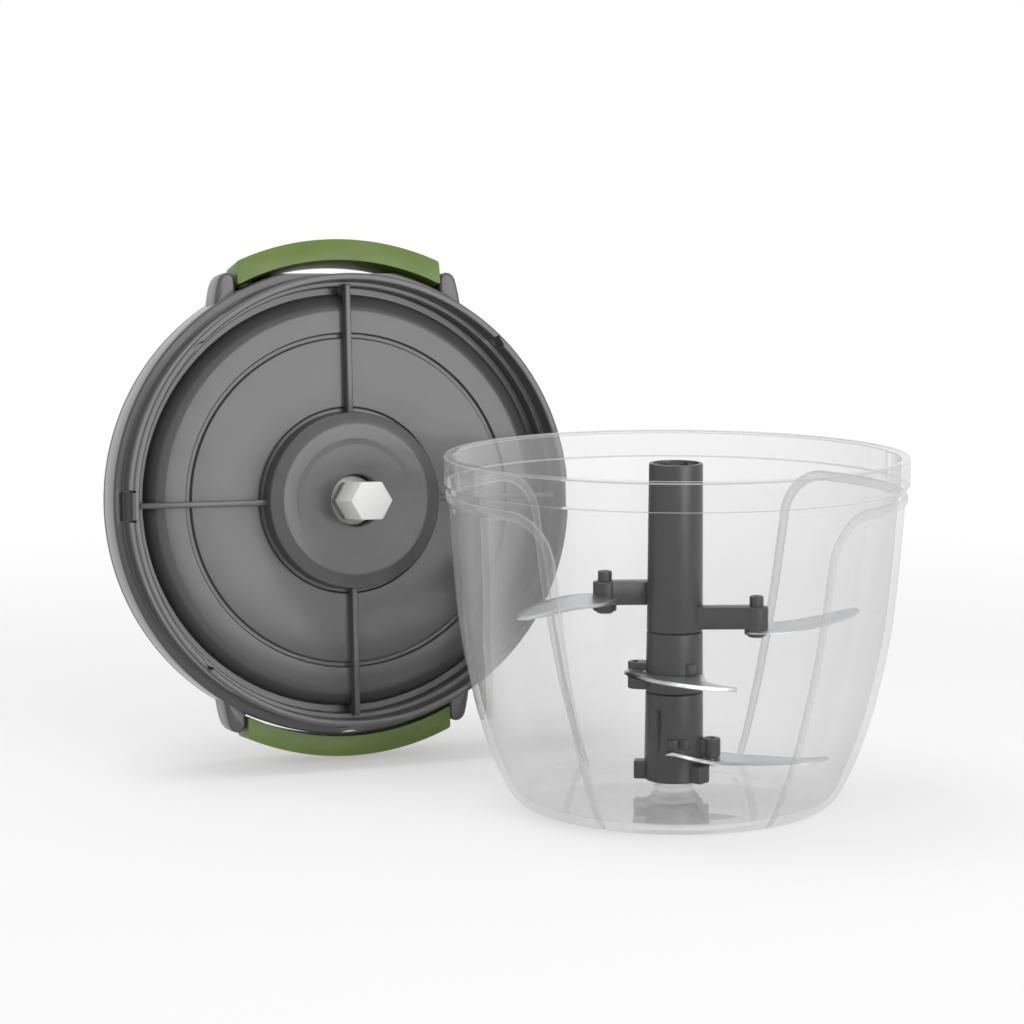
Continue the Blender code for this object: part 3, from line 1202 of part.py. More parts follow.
def make_knob(frame, arm, bottom, top):
    axis = empty("knob_axis", frame, (0, -CRANK_REACH, 0))
    head_top = bottom + GAP + SPINDLE_HEAD_THICK
    recess = rod("spindle_recess", SPINDLE_HEAD + GAP, bottom - CUT_OVER, head_top + GAP, axis, None,
                 CUTTERS)
    hole = rod("spindle_hole", SPINDLE_RADIUS + PIN_GAP, bottom, top + CUT_OVER, axis, None, CUTTERS)
    cut(arm, recess, hole)
    low = top + KNOB_GAP
    spindle_top = low + KNOB_BORE_DEPTH - 2 * GAP
    profile = [(0, spindle_top), (SPINDLE_RADIUS, spindle_top), (SPINDLE_RADIUS, head_top),
               (SPINDLE_HEAD, head_top),
               (SPINDLE_HEAD, head_top - SPINDLE_HEAD_THICK), (0, head_top - SPINDLE_HEAD_THICK)]
    turned("knob_spindle", profile, axis, STEEL, steps=SMALL_STEPS)
    outside = [(KNOB_RADIUS * across, low + KNOB_HEIGHT * up) for across, up in KNOB_SHARES]
    cap_seat = low + KNOB_HEIGHT - KNOB_CAP_THICK
    bore = SPINDLE_RADIUS + PIN_GAP
    inside = [(bore, low), (bore, low + KNOB_BORE_DEPTH), (0, low + KNOB_BORE_DEPTH)]
    knob = turned("crank_knob", [(0, low + KNOB_HEIGHT)] + outside + inside, axis, LID_GREY, steps=28)
    seat = rod("knob_cap_seat", KNOB_CAP_RADIUS + GAP, cap_seat, low + KNOB_HEIGHT + CUT_OVER, axis, None,
               CUTTERS, 32)
    cut(knob, seat)
    rod("knob_cap", KNOB_CAP_RADIUS, cap_seat + GAP, low + KNOB_HEIGHT + GAP, axis, CLIP_GREEN, steps=32)


# Clips
def clip_outline(up):
    """An arc bar round the lid whose two ends are cut straight."""
    outline = []
    steps = 16
    for radius, order in ((CLIP_OUTER, 1), (CLIP_INNER, -1)):
        half = math.asin(CLIP_HALF_LENGTH / radius)
        for i in range(steps + 1):
            angle = up * math.pi / 2 + order * half * (2 * i / steps - 1)
            outline.append((radius * math.cos(angle), radius * math.sin(angle)))
    return outline


def make_clip(name, up, opening, lid_frame):
    hinge = empty(name + "_hinge", lid_frame, (0, up * CLIP_HINGE_RISE, CLIP_HINGE_BACK), (opening, 0, 0))
    inner = empty(name + "_body", hinge, (0, -up * CLIP_HINGE_RISE, -CLIP_HINGE_BACK))
    clip = plate(name, [clip_outline(up)], CLIP_FRONT, CLIP_BACK, inner, CLIP_GREEN)
    edge = clip.modifiers.new("Edges", "BEVEL")
    edge.width = CLIP_ROUND
    edge.segments = 2
    edge.limit_method = "ANGLE"
    edge.angle_limit = math.radians(50)
    holes = []
    for side, word in ((-1, "left"), (1, "right")):
        start, end = side * (CLIP_PIN_INSET - GAP), side * CLIP_PIN_OUTSET
        holes.append(pin_rod("%s_%s_hole" % (name, word), CLIP_PIN_RADIUS + PIN_GAP, start, end, inner, None,
                             CUTTERS,
                             up * CLIP_HINGE_RISE, CLIP_HINGE_BACK))
        pin_rod("%s_%s_pin" % (name, word), CLIP_PIN_RADIUS, side * CLIP_PIN_INSET, end, lid_frame, STEEL,
                None,
                up * CLIP_HINGE_RISE, CLIP_HINGE_BACK)
    cut(clip, *holes)


def make_lid():
    rise = CLIP_OUTER * math.cos(LID_LEAN) + CLIP_BACK * math.sin(LID_LEAN) + GAP
    lean = Matrix.Rotation(math.pi / 2 + LID_LEAN, 3, "X")
    turn = Matrix.Rotation(math.pi, 3, "Z") @ lean @ Matrix.Rotation(LID_ROLL, 3, "Z")
    frame = empty("lid_frame", None, (-LID_LEFT, LID_BACK, rise), turn.to_euler())
    make_lid_base(frame)
    cover = make_cover(frame)
    make_cover_screws(frame, cover)
    make_gears(frame)
    make_crank(frame)
    make_clip("upper_clip", 1, CLIP_OPEN, frame)
    make_clip("lower_clip", -1, 0.0, frame)


make_bowl()
make_column()
make_lid()
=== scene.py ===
# Looks of the manual food chopper: a clear bowl with its blade column, and the crank lid standing beside it.
# Shapes are given in millimetres and degrees. Lid pieces are shaped about the lid's own axis first and then
# carried to its place.

import math

import bpy
import numpy as np
from mathutils import Matrix, Vector


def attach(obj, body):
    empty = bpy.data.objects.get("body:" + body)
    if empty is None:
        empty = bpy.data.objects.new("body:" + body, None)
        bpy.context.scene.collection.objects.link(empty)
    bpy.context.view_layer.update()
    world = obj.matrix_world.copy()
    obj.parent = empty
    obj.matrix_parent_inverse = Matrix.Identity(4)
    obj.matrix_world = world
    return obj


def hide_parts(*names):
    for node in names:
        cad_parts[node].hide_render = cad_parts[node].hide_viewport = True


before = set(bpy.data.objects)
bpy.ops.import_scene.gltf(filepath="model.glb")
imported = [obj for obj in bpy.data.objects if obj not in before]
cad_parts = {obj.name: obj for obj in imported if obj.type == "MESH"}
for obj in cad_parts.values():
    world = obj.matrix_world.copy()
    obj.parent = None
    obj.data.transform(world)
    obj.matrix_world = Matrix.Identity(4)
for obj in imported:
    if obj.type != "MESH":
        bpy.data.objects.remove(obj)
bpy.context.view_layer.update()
print("frame loaded,", len(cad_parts), "nodes")

mm = 0.001


# Hand tools
def pick(*pieces):
    # leaves only these pieces selected, the first one active
    bpy.ops.object.select_all(action="DESELECT")
    for piece in pieces:
        piece.select_set(True)
    bpy.context.view_layer.objects.active = pieces[0]


def settle(piece):
    # puts the object's place into its mesh
    pick(piece)
    bpy.ops.object.transform_apply(location=True, rotation=True, scale=True)
    return piece


def smooth(piece, degrees=35):
    pick(piece)
    bpy.ops.object.shade_smooth_by_angle(angle=math.radians(degrees))
    return piece


def finishWith(piece, kind, **settings):
    # adds one modifier and applies it
    pick(piece)
    change = piece.modifiers.new(kind.title(), kind)
    for name, value in settings.items():
        setattr(change, name, value)
    bpy.ops.object.modifier_apply(modifier=change.name)
    return piece


def easeEdges(piece, width, segments=3, degrees=30):
    return finishWith(piece, "BEVEL", width=width * mm, segments=segments, limit_method="ANGLE",
                      angle_limit=math.radians(degrees))


def cutAway(piece, *cutters):
    for cutter in cutters:
        finishWith(piece, "BOOLEAN", operation="DIFFERENCE", solver="EXACT", object=cutter)
        bpy.data.objects.remove(cutter, do_unlink=True)
    return piece


def joined(name, *pieces):
    pick(*pieces)
    bpy.ops.object.join()
    piece = bpy.context.object
    piece.name = name
    piece.data.name = name
    return piece


def meshed(name, points, faces):
    # a new object from its points and faces
    mesh = bpy.data.meshes.new(name)
    mesh.from_pydata([tuple(c * mm for c in point) for point in points], [], faces)
    piece = bpy.data.objects.new(name, mesh)
    bpy.context.collection.objects.link(piece)
    pick(piece)
    return piece


def ringFaces(rings, count):
    # the four-sided faces between closed rings of points
    return [(i * count + j, i * count + (j + 1) % count, (i + 1) * count + (j + 1) % count, (i + 1) * count + j)
            for i in range(rings - 1) for j in range(count)]


def editAll():
    bpy.ops.object.mode_set(mode="EDIT")
    bpy.ops.mesh.select_all(action="SELECT")


def welded(piece, reach=2e-6):
    # joins points within this reach, in metres, and turns every face outwards
    editAll()
    bpy.ops.mesh.remove_doubles(threshold=reach)
    bpy.ops.mesh.normals_make_consistent(inside=False)
    bpy.ops.object.mode_set(mode="OBJECT")
    return piece


def polar(reach, degrees):
    return reach * math.cos(math.radians(degrees)), reach * math.sin(math.radians(degrees))


def quarterTurn(steps, first=0):
    # (cosine, sine) of evenly spaced angles over a quarter turn
    return [polar(1, 90 * i / steps) for i in range(first, steps + 1)]


def eased(corners, steps=5):
    # a line of (across, up, radius) corners, with each corner rounded off
    line = []
    last = len(corners) - 1
    for i, (x, y, radius) in enumerate(corners):
        spot = Vector((x, y))
        if radius <= 0 or i in (0, last):
            line.append(spot)
            continue
        back = Vector(corners[i - 1][:2]) - spot
        ahead = Vector(corners[i + 1][:2]) - spot
        turn = math.pi - back.angle(ahead)
        reach = min(radius * math.tan(turn / 2), back.length * 0.48, ahead.length * 0.48)
        first, second = spot + back.normalized() * reach, spot + ahead.normalized() * reach
        for k in range(steps + 1):
            t = k / steps
            line.append(first * (1 - t) ** 2 + spot * 2 * t * (1 - t) + second * t * t)
    return [(p.x, p.y) for p in line]


def smoothCurve(points, steps):
    # a Catmull-Rom line through (x, y) points
    ends = [points[0], *points, points[-1]]
    line = []
    for spots in zip(ends, ends[1:], ends[2:], ends[3:]):
        for i in range(steps):
            t = i / steps
            line.append(tuple(0.5 * (2 * b + (c - a) * t + (2 * a - 5 * b + 4 * c - d) * t * t
                                     + (3 * b - a - 3 * c + d) * t ** 3) for a, b, c, d in zip(*spots)))
    return line + [points[-1]]


def spun(name, profile, around):
    # one point is drawn out along the profile, and the line is spun about Z, as on a lathe
    profile = [(r * mm, z * mm) for r, z in profile]
    bpy.ops.mesh.primitive_plane_add(size=mm)
    piece = bpy.context.object
    editAll()
    bpy.ops.mesh.merge(type="CENTER")
    bpy.ops.transform.translate(value=(profile[0][0], 0, profile[0][1]))
    for (r0, z0), (r1, z1) in zip(profile, profile[1:]):
        bpy.ops.mesh.extrude_region_move(TRANSFORM_OT_translate={"value": (r1 - r0, 0, z1 - z0)})
    editAll()
    bpy.ops.mesh.spin(steps=around, angle=math.tau, center=(0, 0, 0), axis=(0, 0, 1))
    piece.name = name
    return welded(piece)


def lathe(name, corners, around, steps=5, degrees=35):
    return smooth(spun(name, eased(corners, steps), around), degrees)


def bar(name, low, high, ease):
    # a block between two corners, with eased edges
    low, high = Vector(low) * mm, Vector(high) * mm
    bpy.ops.mesh.primitive_cube_add(size=1, location=(low + high) / 2, scale=high - low)
    piece = settle(bpy.context.object)
    piece.name = name
    return easeEdges(piece, ease)


def plate(name, outline, bottom, top, ease=0, segments=3):
    # a flat outline of (x, y) points, extruded up and eased round its edges
    piece = meshed(name, [(x, y, bottom) for x, y in outline], [tuple(range(len(outline)))])
    editAll()
    bpy.ops.mesh.extrude_region_move(TRANSFORM_OT_translate={"value": (0, 0, (top - bottom) * mm)})
    welded(piece, 1e-7)
    return easeEdges(piece, ease, segments) if ease else piece


def turnedBy(piece, degrees, place=(0, 0, 0)):
    # turns a piece about Z, then carries it to a place
    turn = Matrix.Rotation(math.radians(degrees), 4, "Z")
    piece.data.transform(Matrix.Translation([c * mm for c in place]) @ turn)
    return piece


def placed(piece, angle, reach, turn=0):
    # carries a piece out from the axis at an angle
    return turnedBy(piece, turn, (*polar(reach, angle), 0))


def hexagon(across):
    return [polar(across / math.sqrt(3), 60 * i) for i in range(6)]


def done(piece, body, slot, material, *nodes):
    # dresses a finished piece and hands it to the body it moves with
    piece.data.materials.clear()
    piece.data.materials.append(material)
    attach(piece, body)
    if nodes:
        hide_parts(*nodes)
    return piece


# Materials
def srgb(code):
    # an sRGB hex value as linear colour
    parts = [int(code[i:i + 2], 16) / 255 for i in (1, 3, 5)]
    return tuple(p / 12.92 if p <= 0.04045 else ((p + 0.055) / 1.055) ** 2.4 for p in parts) + (1.0,)


def freshTree(owner):
    owner.use_nodes = True
    owner.node_tree.nodes.clear()
    return owner.node_tree


def addNode(tree, kind, inputs=None, **settings):
    # one node with its settings; an input takes a value, a socket or a node, whose first output is then meant
    node = tree.nodes.new("ShaderNode" + kind)
    for name, value in settings.items():
        setattr(node, name, value)
    for name, given in (inputs or {}).items():
        source = given.outputs[0] if isinstance(given, bpy.types.Node) else given
        if isinstance(source, bpy.types.NodeSocket):
            tree.links.new(source, node.inputs[name])
        else:
            node.inputs[name].default_value = source
    return node


def startMaterial(name):
    material = bpy.data.materials.new(name)
    tree = freshTree(material)
    return material, tree, addNode(tree, "TexCoord").outputs["Object"]


def paintRamp(ramp, stops, easing="LINEAR"):
    # fills a colour ramp with (position, sRGB hex) stops
    ramp.interpolation = easing
    for position, _ in stops[1:-1]:
        ramp.elements.new(position)
    for element, (position, code) in zip(ramp.elements, stops):
        element.position, element.color = position, srgb(code)


def scaleOf(size):
    # the texture scale at which a pattern's features are this many millimetres wide
    return 1 / (size * mm)


def mouldedPlastic(name, finish):
    # injection-moulded plastic: faint flow clouding, a fine grain from the mould and a slightly uneven gloss
    material, tree, place = startMaterial(name)
    clouds = addNode(tree, "TexNoise", {"Scale": scaleOf(finish["flowSize"]), "Detail": 3.0, "Vector": place})
    tone = addNode(tree, "ValToRGB", {"Fac": clouds})
    paintRamp(tone.color_ramp, ((0.2, finish["darker"]), (0.8, finish["lighter"])), "EASE")
    smear = addNode(tree, "TexNoise", {"Scale": scaleOf(finish["smearSize"]), "Detail": 4.0,
                                       "Distortion": 0.6, "Vector": place})
    low, high = finish["roughness"]
    gloss = addNode(tree, "MapRange", {"From Min": 0.2, "From Max": 0.8, "To Min": low, "To Max": high,
                                       "Value": smear}, interpolation_type="SMOOTHSTEP")
    grain = addNode(tree, "TexNoise", {"Scale": scaleOf(finish["grainSize"]), "Detail": 2.0, "Vector": place})
    relief = addNode(tree, "Bump", {"Strength": finish["grain"], "Distance": 0.05 * mm, "Height": grain})
    shader = addNode(tree, "BsdfPrincipled", {"IOR": finish["ior"], "Base Color": tone, "Roughness": gloss,
                                              "Normal": relief})
    addNode(tree, "OutputMaterial", {"Surface": shader})
    return material


# grey ABS of the lid, moulded in a polished mould: glossy, with soft reflections and no visible grain
lidGrey = mouldedPlastic("grey_abs_moulded_glossy", {
    "darker": "#4d4d4d", "lighter": "#535353", "flowSize": 45, "smearSize": 22, "roughness": (0.17, 0.24),
    "grainSize": 0.6, "grain": 0.008, "ior": 1.47})
# dark grey ABS of the blade column: the same kind of plastic from a less polished mould, so a softer gloss
columnGrey = mouldedPlastic("dark_grey_abs_moulded", {
    "darker": "#373737", "lighter": "#3d3d3d", "flowSize": 25, "smearSize": 12, "roughness": (0.28, 0.36),
    "grainSize": 0.5, "grain": 0.008, "ior": 1.52})
# green polypropylene of the clips, from a lightly blasted mould: softer gloss and a fine even grain
clipGreen = mouldedPlastic("green_polypropylene_moulded", {
    "darker": "#587024", "lighter": "#5f772b", "flowSize": 20, "smearSize": 9, "roughness": (0.36, 0.46),
    "grainSize": 0.45, "grain": 0.08, "ior": 1.49})
# white acetal of the drive, the spine and the gears: waxy, half gloss, faintly warm
acetalWhite = mouldedPlastic("white_acetal_moulded", {
    "darker": "#e6e6e3", "lighter": "#ecece9", "flowSize": 12, "smearSize": 8, "roughness": (0.34, 0.42),
    "grainSize": 0.5, "grain": 0.12, "ior": 1.48})


def rolledSteel(name, finish):
    # stainless steel: fine brushing along one axis, drawn as coarse as it needs to show
    material, tree, place = startMaterial(name)
    stretch = addNode(tree, "Mapping", {"Scale": finish["stretch"], "Vector": place})
    brush = addNode(tree, "TexNoise", {"Scale": scaleOf(finish["lineSize"]), "Detail": 2.0, "Vector": stretch})
    tone = addNode(tree, "ValToRGB", {"Fac": brush})
    paintRamp(tone.color_ramp, ((0.35, finish["darker"]), (0.65, finish["lighter"])))
    low, high = finish["roughness"]
    gloss = addNode(tree, "MapRange", {"From Min": 0.3, "From Max": 0.7, "To Min": low, "To Max": high,
                                       "Value": brush})
    relief = addNode(tree, "Bump", {"Strength": 0.01, "Distance": 0.02 * mm, "Height": brush})
    shader = addNode(tree, "BsdfPrincipled", {"Metallic": 1.0, "Base Color": tone, "Roughness": gloss,
                                              "Normal": relief})
    addNode(tree, "OutputMaterial", {"Surface": shader})
    return material


# rolled and ground stainless strip of the blades: pale, with brushing along the blade
bladeSteel = rolledSteel("stainless_strip_ground", {
    "darker": "#c6c7c9", "lighter": "#cfd0d2", "stretch": (0.12, 1.0, 1.0), "lineSize": 0.5,
    "roughness": (0.30, 0.38)})
# turned and plated steel of the screws and pins
pinSteel = rolledSteel("plated_steel_turned", {
    "darker": "#b4b5b8", "lighter": "#c9cacd", "stretch": (1.0, 1.0, 0.3), "lineSize": 0.3,
    "roughness": (0.20, 0.32)})


def clearStyrene(name, finish):
    # clear SAN, moulded in a polished mould: the thin wall lets light straight through, reflects more and turns
    # grey where it is seen edge on, and has a trace of haze from wear, with painted light added to the haze on
    # the far wall
    material, tree, place = startMaterial(name)
    waves = addNode(tree, "TexNoise", {"Scale": scaleOf(finish["waveSize"]), "Detail": 1.0, "Vector": place})
    relief = addNode(tree, "Bump", {"Strength": finish["wave"], "Distance": 0.1 * mm, "Height": waves})
    rub = addNode(tree, "TexNoise", {"Scale": scaleOf(finish["rubSize"]), "Detail": 5.0, "Vector": place})
    low, high = finish["roughness"]
    gloss = addNode(tree, "MapRange", {"From Min": 0.35, "From Max": 0.7, "To Min": low, "To Max": high,
                                       "Value": rub})
    facing = addNode(tree, "LayerWeight", {"Blend": 0.5}).outputs["Facing"]
    tint = addNode(tree, "ValToRGB", {"Fac": facing})
    paintRamp(tint.color_ramp, finish["tints"], "EASE")
    # the beads and edges are rounder plastic; on them painted shade lets less light straight through and painted
    # highlight adds white haze, standing in for how they bend and catch the light
    paintedEdgeLight = addNode(tree, "Attribute", attribute_name="paintedEdgeLight").outputs["Fac"]
    passed = addNode(tree, "MapRange", {"To Min": 1.0, "To Max": finish["paintedShadePasses"], "Value": paintedEdgeLight})
    dimmed = addNode(tree, "VectorMath", {0: tint, "Scale": passed}, operation="SCALE")
    straight = addNode(tree, "BsdfTransparent", {"Color": dimmed})
    mirror = addNode(tree, "BsdfGlossy", {"Color": srgb(finish["mirror"]), "Roughness": gloss,
                                          "Normal": relief})
    edge = addNode(tree, "Math", {1: finish["mirrorPower"], 0: facing}, operation="POWER")
    low, high = finish["mirrored"]
    mirrored = addNode(tree, "MapRange", {"To Min": low, "To Max": high, "Value": edge})
    wall = addNode(tree, "MixShader", {"Fac": mirrored, 1: straight, 2: mirror})
    # painted light: the haze is made stronger towards the far wall, standing in for the light that the lid's
    # side of the room throws on it; the near wall keeps only a trace of haze from wear
    haze = addNode(tree, "BsdfDiffuse", {"Color": srgb(finish["haze"])})
    across = addNode(tree, "SeparateXYZ", {"Vector": place})
    low, high = finish["hazeAndPaintedLightShares"]
    share = addNode(tree, "MapRange", {"From Min": -0.04, "From Max": 0.04, "To Min": low, "To Max": high,
                                       "Value": across.outputs["Y"]})
    hazeAndPaintedLight = addNode(tree, "Math", {1: finish["paintedHighlightHaze"], 0: paintedEdgeLight, 2: share}, operation="MULTIPLY_ADD")
    veil = addNode(tree, "MixShader", {"Fac": hazeAndPaintedLight, 1: wall, 2: haze})
    # light passes the wall on its way to what stands inside, as through the real one
    path = addNode(tree, "LightPath")
    through = addNode(tree, "BsdfTransparent", {"Color": srgb(finish["shade"])})
    choose = addNode(tree, "MixShader", {"Fac": path.outputs["Is Shadow Ray"], 1: veil, 2: through})
    addNode(tree, "OutputMaterial", {"Surface": choose})
    return material


# on the beads and edges, the painted shade lets about half the straight light through and the painted highlight
# adds about a third white haze
bowlClear = clearStyrene("clear_san_polished", {
    "tints": ((0.0, "#fcfcfc"), (0.4, "#fafafa"), (0.68, "#f7f7f7"), (0.88, "#f3f3f3"), (1.0, "#c2c2c6")),
    "mirror": "#f4f4f5", "mirrored": (0.005, 0.75), "mirrorPower": 3.2, "paintedShadePasses": 0.52, "paintedHighlightHaze": 0.32,
    "roughness": (0.0, 0.03), "waveSize": 14, "wave": 0.03, "rubSize": 9, "haze": "#f5f5f4",
    # the far wall's share of haze is painted light, the near wall's is the trace of wear
    "hazeAndPaintedLightShares": (0.003, 0.140), "shade": "#dadadb"})
print("materials made")


# Bowl: "rows", "columns" and "innerRows" hold single numbers and (start, end, step) ranges of them
bowlFacts = {
    "turn": -18.6,
    "height": 126.3,
    "rimRadius": 83.0, "rimWall": 3.3, "rimBand": 10.3, "rimRound": 1.0,
    "shoulder": 81.7, "wall": 2.6, "floor": 4.0,
    "wallShares": (
        (1.0, 1.0), (0.987, 0.85), (0.971, 0.71), (0.953, 0.58), (0.930, 0.476), (0.904, 0.39),
        (0.876, 0.303), (0.843, 0.225), (0.808, 0.156), (0.774, 0.1), (0.742, 0.056), (0.714, 0.028),
        (0.680, 0.009), (0.642, 0.0),
    ),
    "standing": ((0.0, 1.0), (44.5, 1.0), (45.2, 0.8), (45.9, 0.2), (46.6, 0.0), (51.0, 0.0)),
    # the post: two low rings round its foot and a chamfered end
    "post": (
        (46.0, 4.0), (30.0, 4.0), (12.0, 4.0), (7.4, 4.0), (7.0, 4.15), (6.9, 5.6), (6.6, 5.9), (5.5, 5.9),
        (5.25, 6.1), (5.2, 7.2), (4.9, 7.5), (3.7, 7.5), (3.6, 7.8), (3.6, 20), (3.6, 34.7), (2.8, 35.5),
        (0.0, 35.5),
    ),
    "archTopAngle": 54.0, "archFootAngle": 60.0, "archTop": 111.5, "archFoot": 3.5, "archCorner": 17.0,
    "beadWidth": 3.8, "beadProud": 1.0,
    "lugAngle": 9.0, "lugWidth": 2.2, "lugProud": 1.4, "lugFoot": 116.0, "lugTop": 125.3,
    # outer wall from the foot up: close rows where the arch turns, wider ones below
    "rows": (0.15, 0.5, (1.2, 9, 0.8), (9, 92, 2.4), (92, 115.6, 0.42)),
    "innerRows": (112, 108, 102, 95, (88, 39, -8), 33, 27, 21, 16, 12, 9.5),
    # a quarter of the way round: close columns at the lugs and the beads
    "columns": (
        (0, 7.2, 1.8), 7.6, 7.95, 8.15, 8.35, 8.7, 9.0, 9.3, 9.65, 9.85, 10.05, 10.4, (12, 40, 2.0),
        (40.5, 51.5, 0.42), (51.6, 56.8, 0.24), 57.4, 58.4, 60, (62, 90, 2.0),
    ),
}


def spelledOut(ranges):
    return [float(v) for entry in ranges for v in (np.arange(*entry) if isinstance(entry, tuple) else [entry])]


def archPath(facts, radius):
    # the arch unrolled flat: (distance round the wall from the arch's middle, height)
    corner = facts["archCorner"]
    side, legTop = facts["archTopAngle"] * math.radians(radius), facts["archTop"] - corner
    path = [(side, facts["archFoot"]), (side, legTop)]
    path += [(side - corner * (1 - c), legTop + corner * s) for c, s in quarterTurn(12, 1)]
    return np.array(path + [(0, facts["archTop"])])


def distanceTo(path, spots):
    nearest = np.full(len(spots), np.inf)
    for start, end in zip(path, path[1:]):
        run = end - start
        share = np.clip(((spots - start) @ run) / (run @ run), 0, 1)
        nearest = np.minimum(nearest, np.linalg.norm(spots - start - share[:, None] * run, axis=1))
    return nearest


def bowlSection(facts, wallRadius):
    # (radius, height, zone) from the foot's middle round to the top of the post; zone 1 is the outer wall, 2 the
    # rim's inside, 3 the rest of the inside and 0 the foot and the rim's outside
    shoulder = facts["height"] - facts["rimBand"]
    rim, top, ease = facts["rimRadius"], facts["height"], facts["rimRound"]
    inside, foot = rim - facts["rimWall"], facts["lugFoot"]
    section = [(r, z, 0) for r, z in facts["standing"]]
    section += [(wallRadius(z), z, 1) for z in spelledOut(facts["rows"])]
    section += [(facts["shoulder"], shoulder - 0.35, 1), (facts["shoulder"] + 0.2, shoulder, 0),
                (rim - 0.25, shoulder + 0.12, 0), (rim, shoulder + 0.4, 0), (rim, top - ease - 2, 0)]
    section += [(rim - ease * (1 - c), top - ease * (1 - s), 0) for c, s in quarterTurn(6)]
    section += [(inside + ease * (1 - s), top - ease * (1 - c), 2) for c, s in quarterTurn(6, 1)]
    section += [(inside, z, 2)
                for z in (facts["lugTop"] - 0.35, 122.5, 119.5, foot + 0.6, foot + 0.3, foot, foot - 0.3)]
    section += [(inside - 0.02, foot - 0.8, 3)]
    section += [(wallRadius(z) - facts["wall"], z, 3) for z in spelledOut(facts["innerRows"])]
    lastRadius, lastHeight, _ = section[-1]
    drop = lastHeight - facts["floor"]
    section += [(lastRadius - i / 6 - drop * 0.9 * (1 - c), lastHeight - drop * s, 3)
                for i, (c, s) in enumerate(quarterTurn(6, 1), 1)]
    return section + [(r, z, 3) for r, z in facts["post"]]


def makeBowl(facts):
    shoulder, top, ease = facts["height"] - facts["rimBand"], facts["height"], facts["rimRound"]
    outline = [(facts["shoulder"] * across, shoulder * up) for across, up in facts["wallShares"]]
    outline = smoothCurve(outline, 10)[::-1]

    def wallRadius(height):
        return float(np.interp(height, [z for r, z in outline], [r for r, z in outline]))

    section = bowlSection(facts, wallRadius)
    quarter = spelledOut(facts["columns"])
    half = quarter + [90] + [180 - a for a in quarter[:0:-1]]
    around = np.array(half + [180 + a for a in half])
    degree = math.radians(wallRadius(facts["archTop"]))
    path = archPath(facts, wallRadius(facts["archTop"]))
    # how far each column is from the nearer of the two arches' middles, and on which side of it
    fold = np.abs(((around + 90) % 180) - 90)
    side = np.sign(((around + 90) % 180) - 90)
    # columns lean with the arch's legs, so the beads follow the mesh
    spread = facts["archFootAngle"] - facts["archTopAngle"]
    legTop = facts["archTop"] - facts["archCorner"]
    near = np.interp(fold, [34, 50, 58, 78], [0, 1, 1, 0])
    near = near * near * (3 - 2 * near)
    # the edges that show as thin lines of painted shade and highlight: under the rim's band, round its top, and
    # at the foot
    edges = {(round(shoulder + rise, 2), 0) for rise in (0, 0.12)} | {(round(top - ease, 2), 2), (0.15, 1)}
    edges |= {(round(top - ease * (1 - math.sin(math.radians(15 * i))), 2), 0) for i in (1, 2)}
    points, marks = [], []
    for radius, height, zone in section:
        paintedEdgeLight = np.full(len(around), 1.0 if (round(height, 2), zone) in edges else 0.0)
        marks.append(paintedEdgeLight)
        if radius == 0:
            points += [(0, 0, height)] * len(around)
            continue
        lean = spread * np.clip((legTop - height) / (legTop - facts["archFoot"]), 0, 1)
        out = np.full(len(around), radius)
        if zone == 1:
            spots = np.stack([fold * degree, np.full(len(fold), height)], axis=1)
            share = np.clip(distanceTo(path, spots) / (facts["beadWidth"] / 2), 0, 1)
            out = out + facts["beadProud"] * np.sqrt(1 - share ** 2) ** 1.2
            # painted shade and highlight across the bead: strongest near its two edges, about half on its crest,
            # none beyond
            paintedEdgeLight[:] = np.interp(share, (0, 0.5, 0.75, 0.92, 1.0), (0.5, 0.4, 1.0, 0.9, 0.0))
        if zone == 2 and facts["lugFoot"] < height < facts["lugTop"] + 0.05:
            off = np.abs(fold - facts["lugAngle"]) * math.radians(radius)
            out = out - facts["lugProud"] * np.clip((facts["lugWidth"] / 2 - off) / 0.3 + 0.5, 0, 1)
        turn = np.radians(around + side * near * lean + facts["turn"])
        points += list(zip(out * np.cos(turn), out * np.sin(turn), np.full(len(around), height)))
    piece = meshed("bowlShell", points, ringFaces(len(section), len(around)))
    # the painted shade and highlight of the beads and edges go with the mesh to the clear plastic's shader
    piece.data.attributes.new("paintedEdgeLight", "FLOAT", "POINT").data.foreach_set("value", np.concatenate(marks))
    return done(smooth(welded(piece, 1e-7), 40), "bowl", "clear_plastic", bowlClear, "bowl")


bowlShell = makeBowl(bowlFacts)
print("bowl made,", len(bowlShell.data.polygons), "faces")


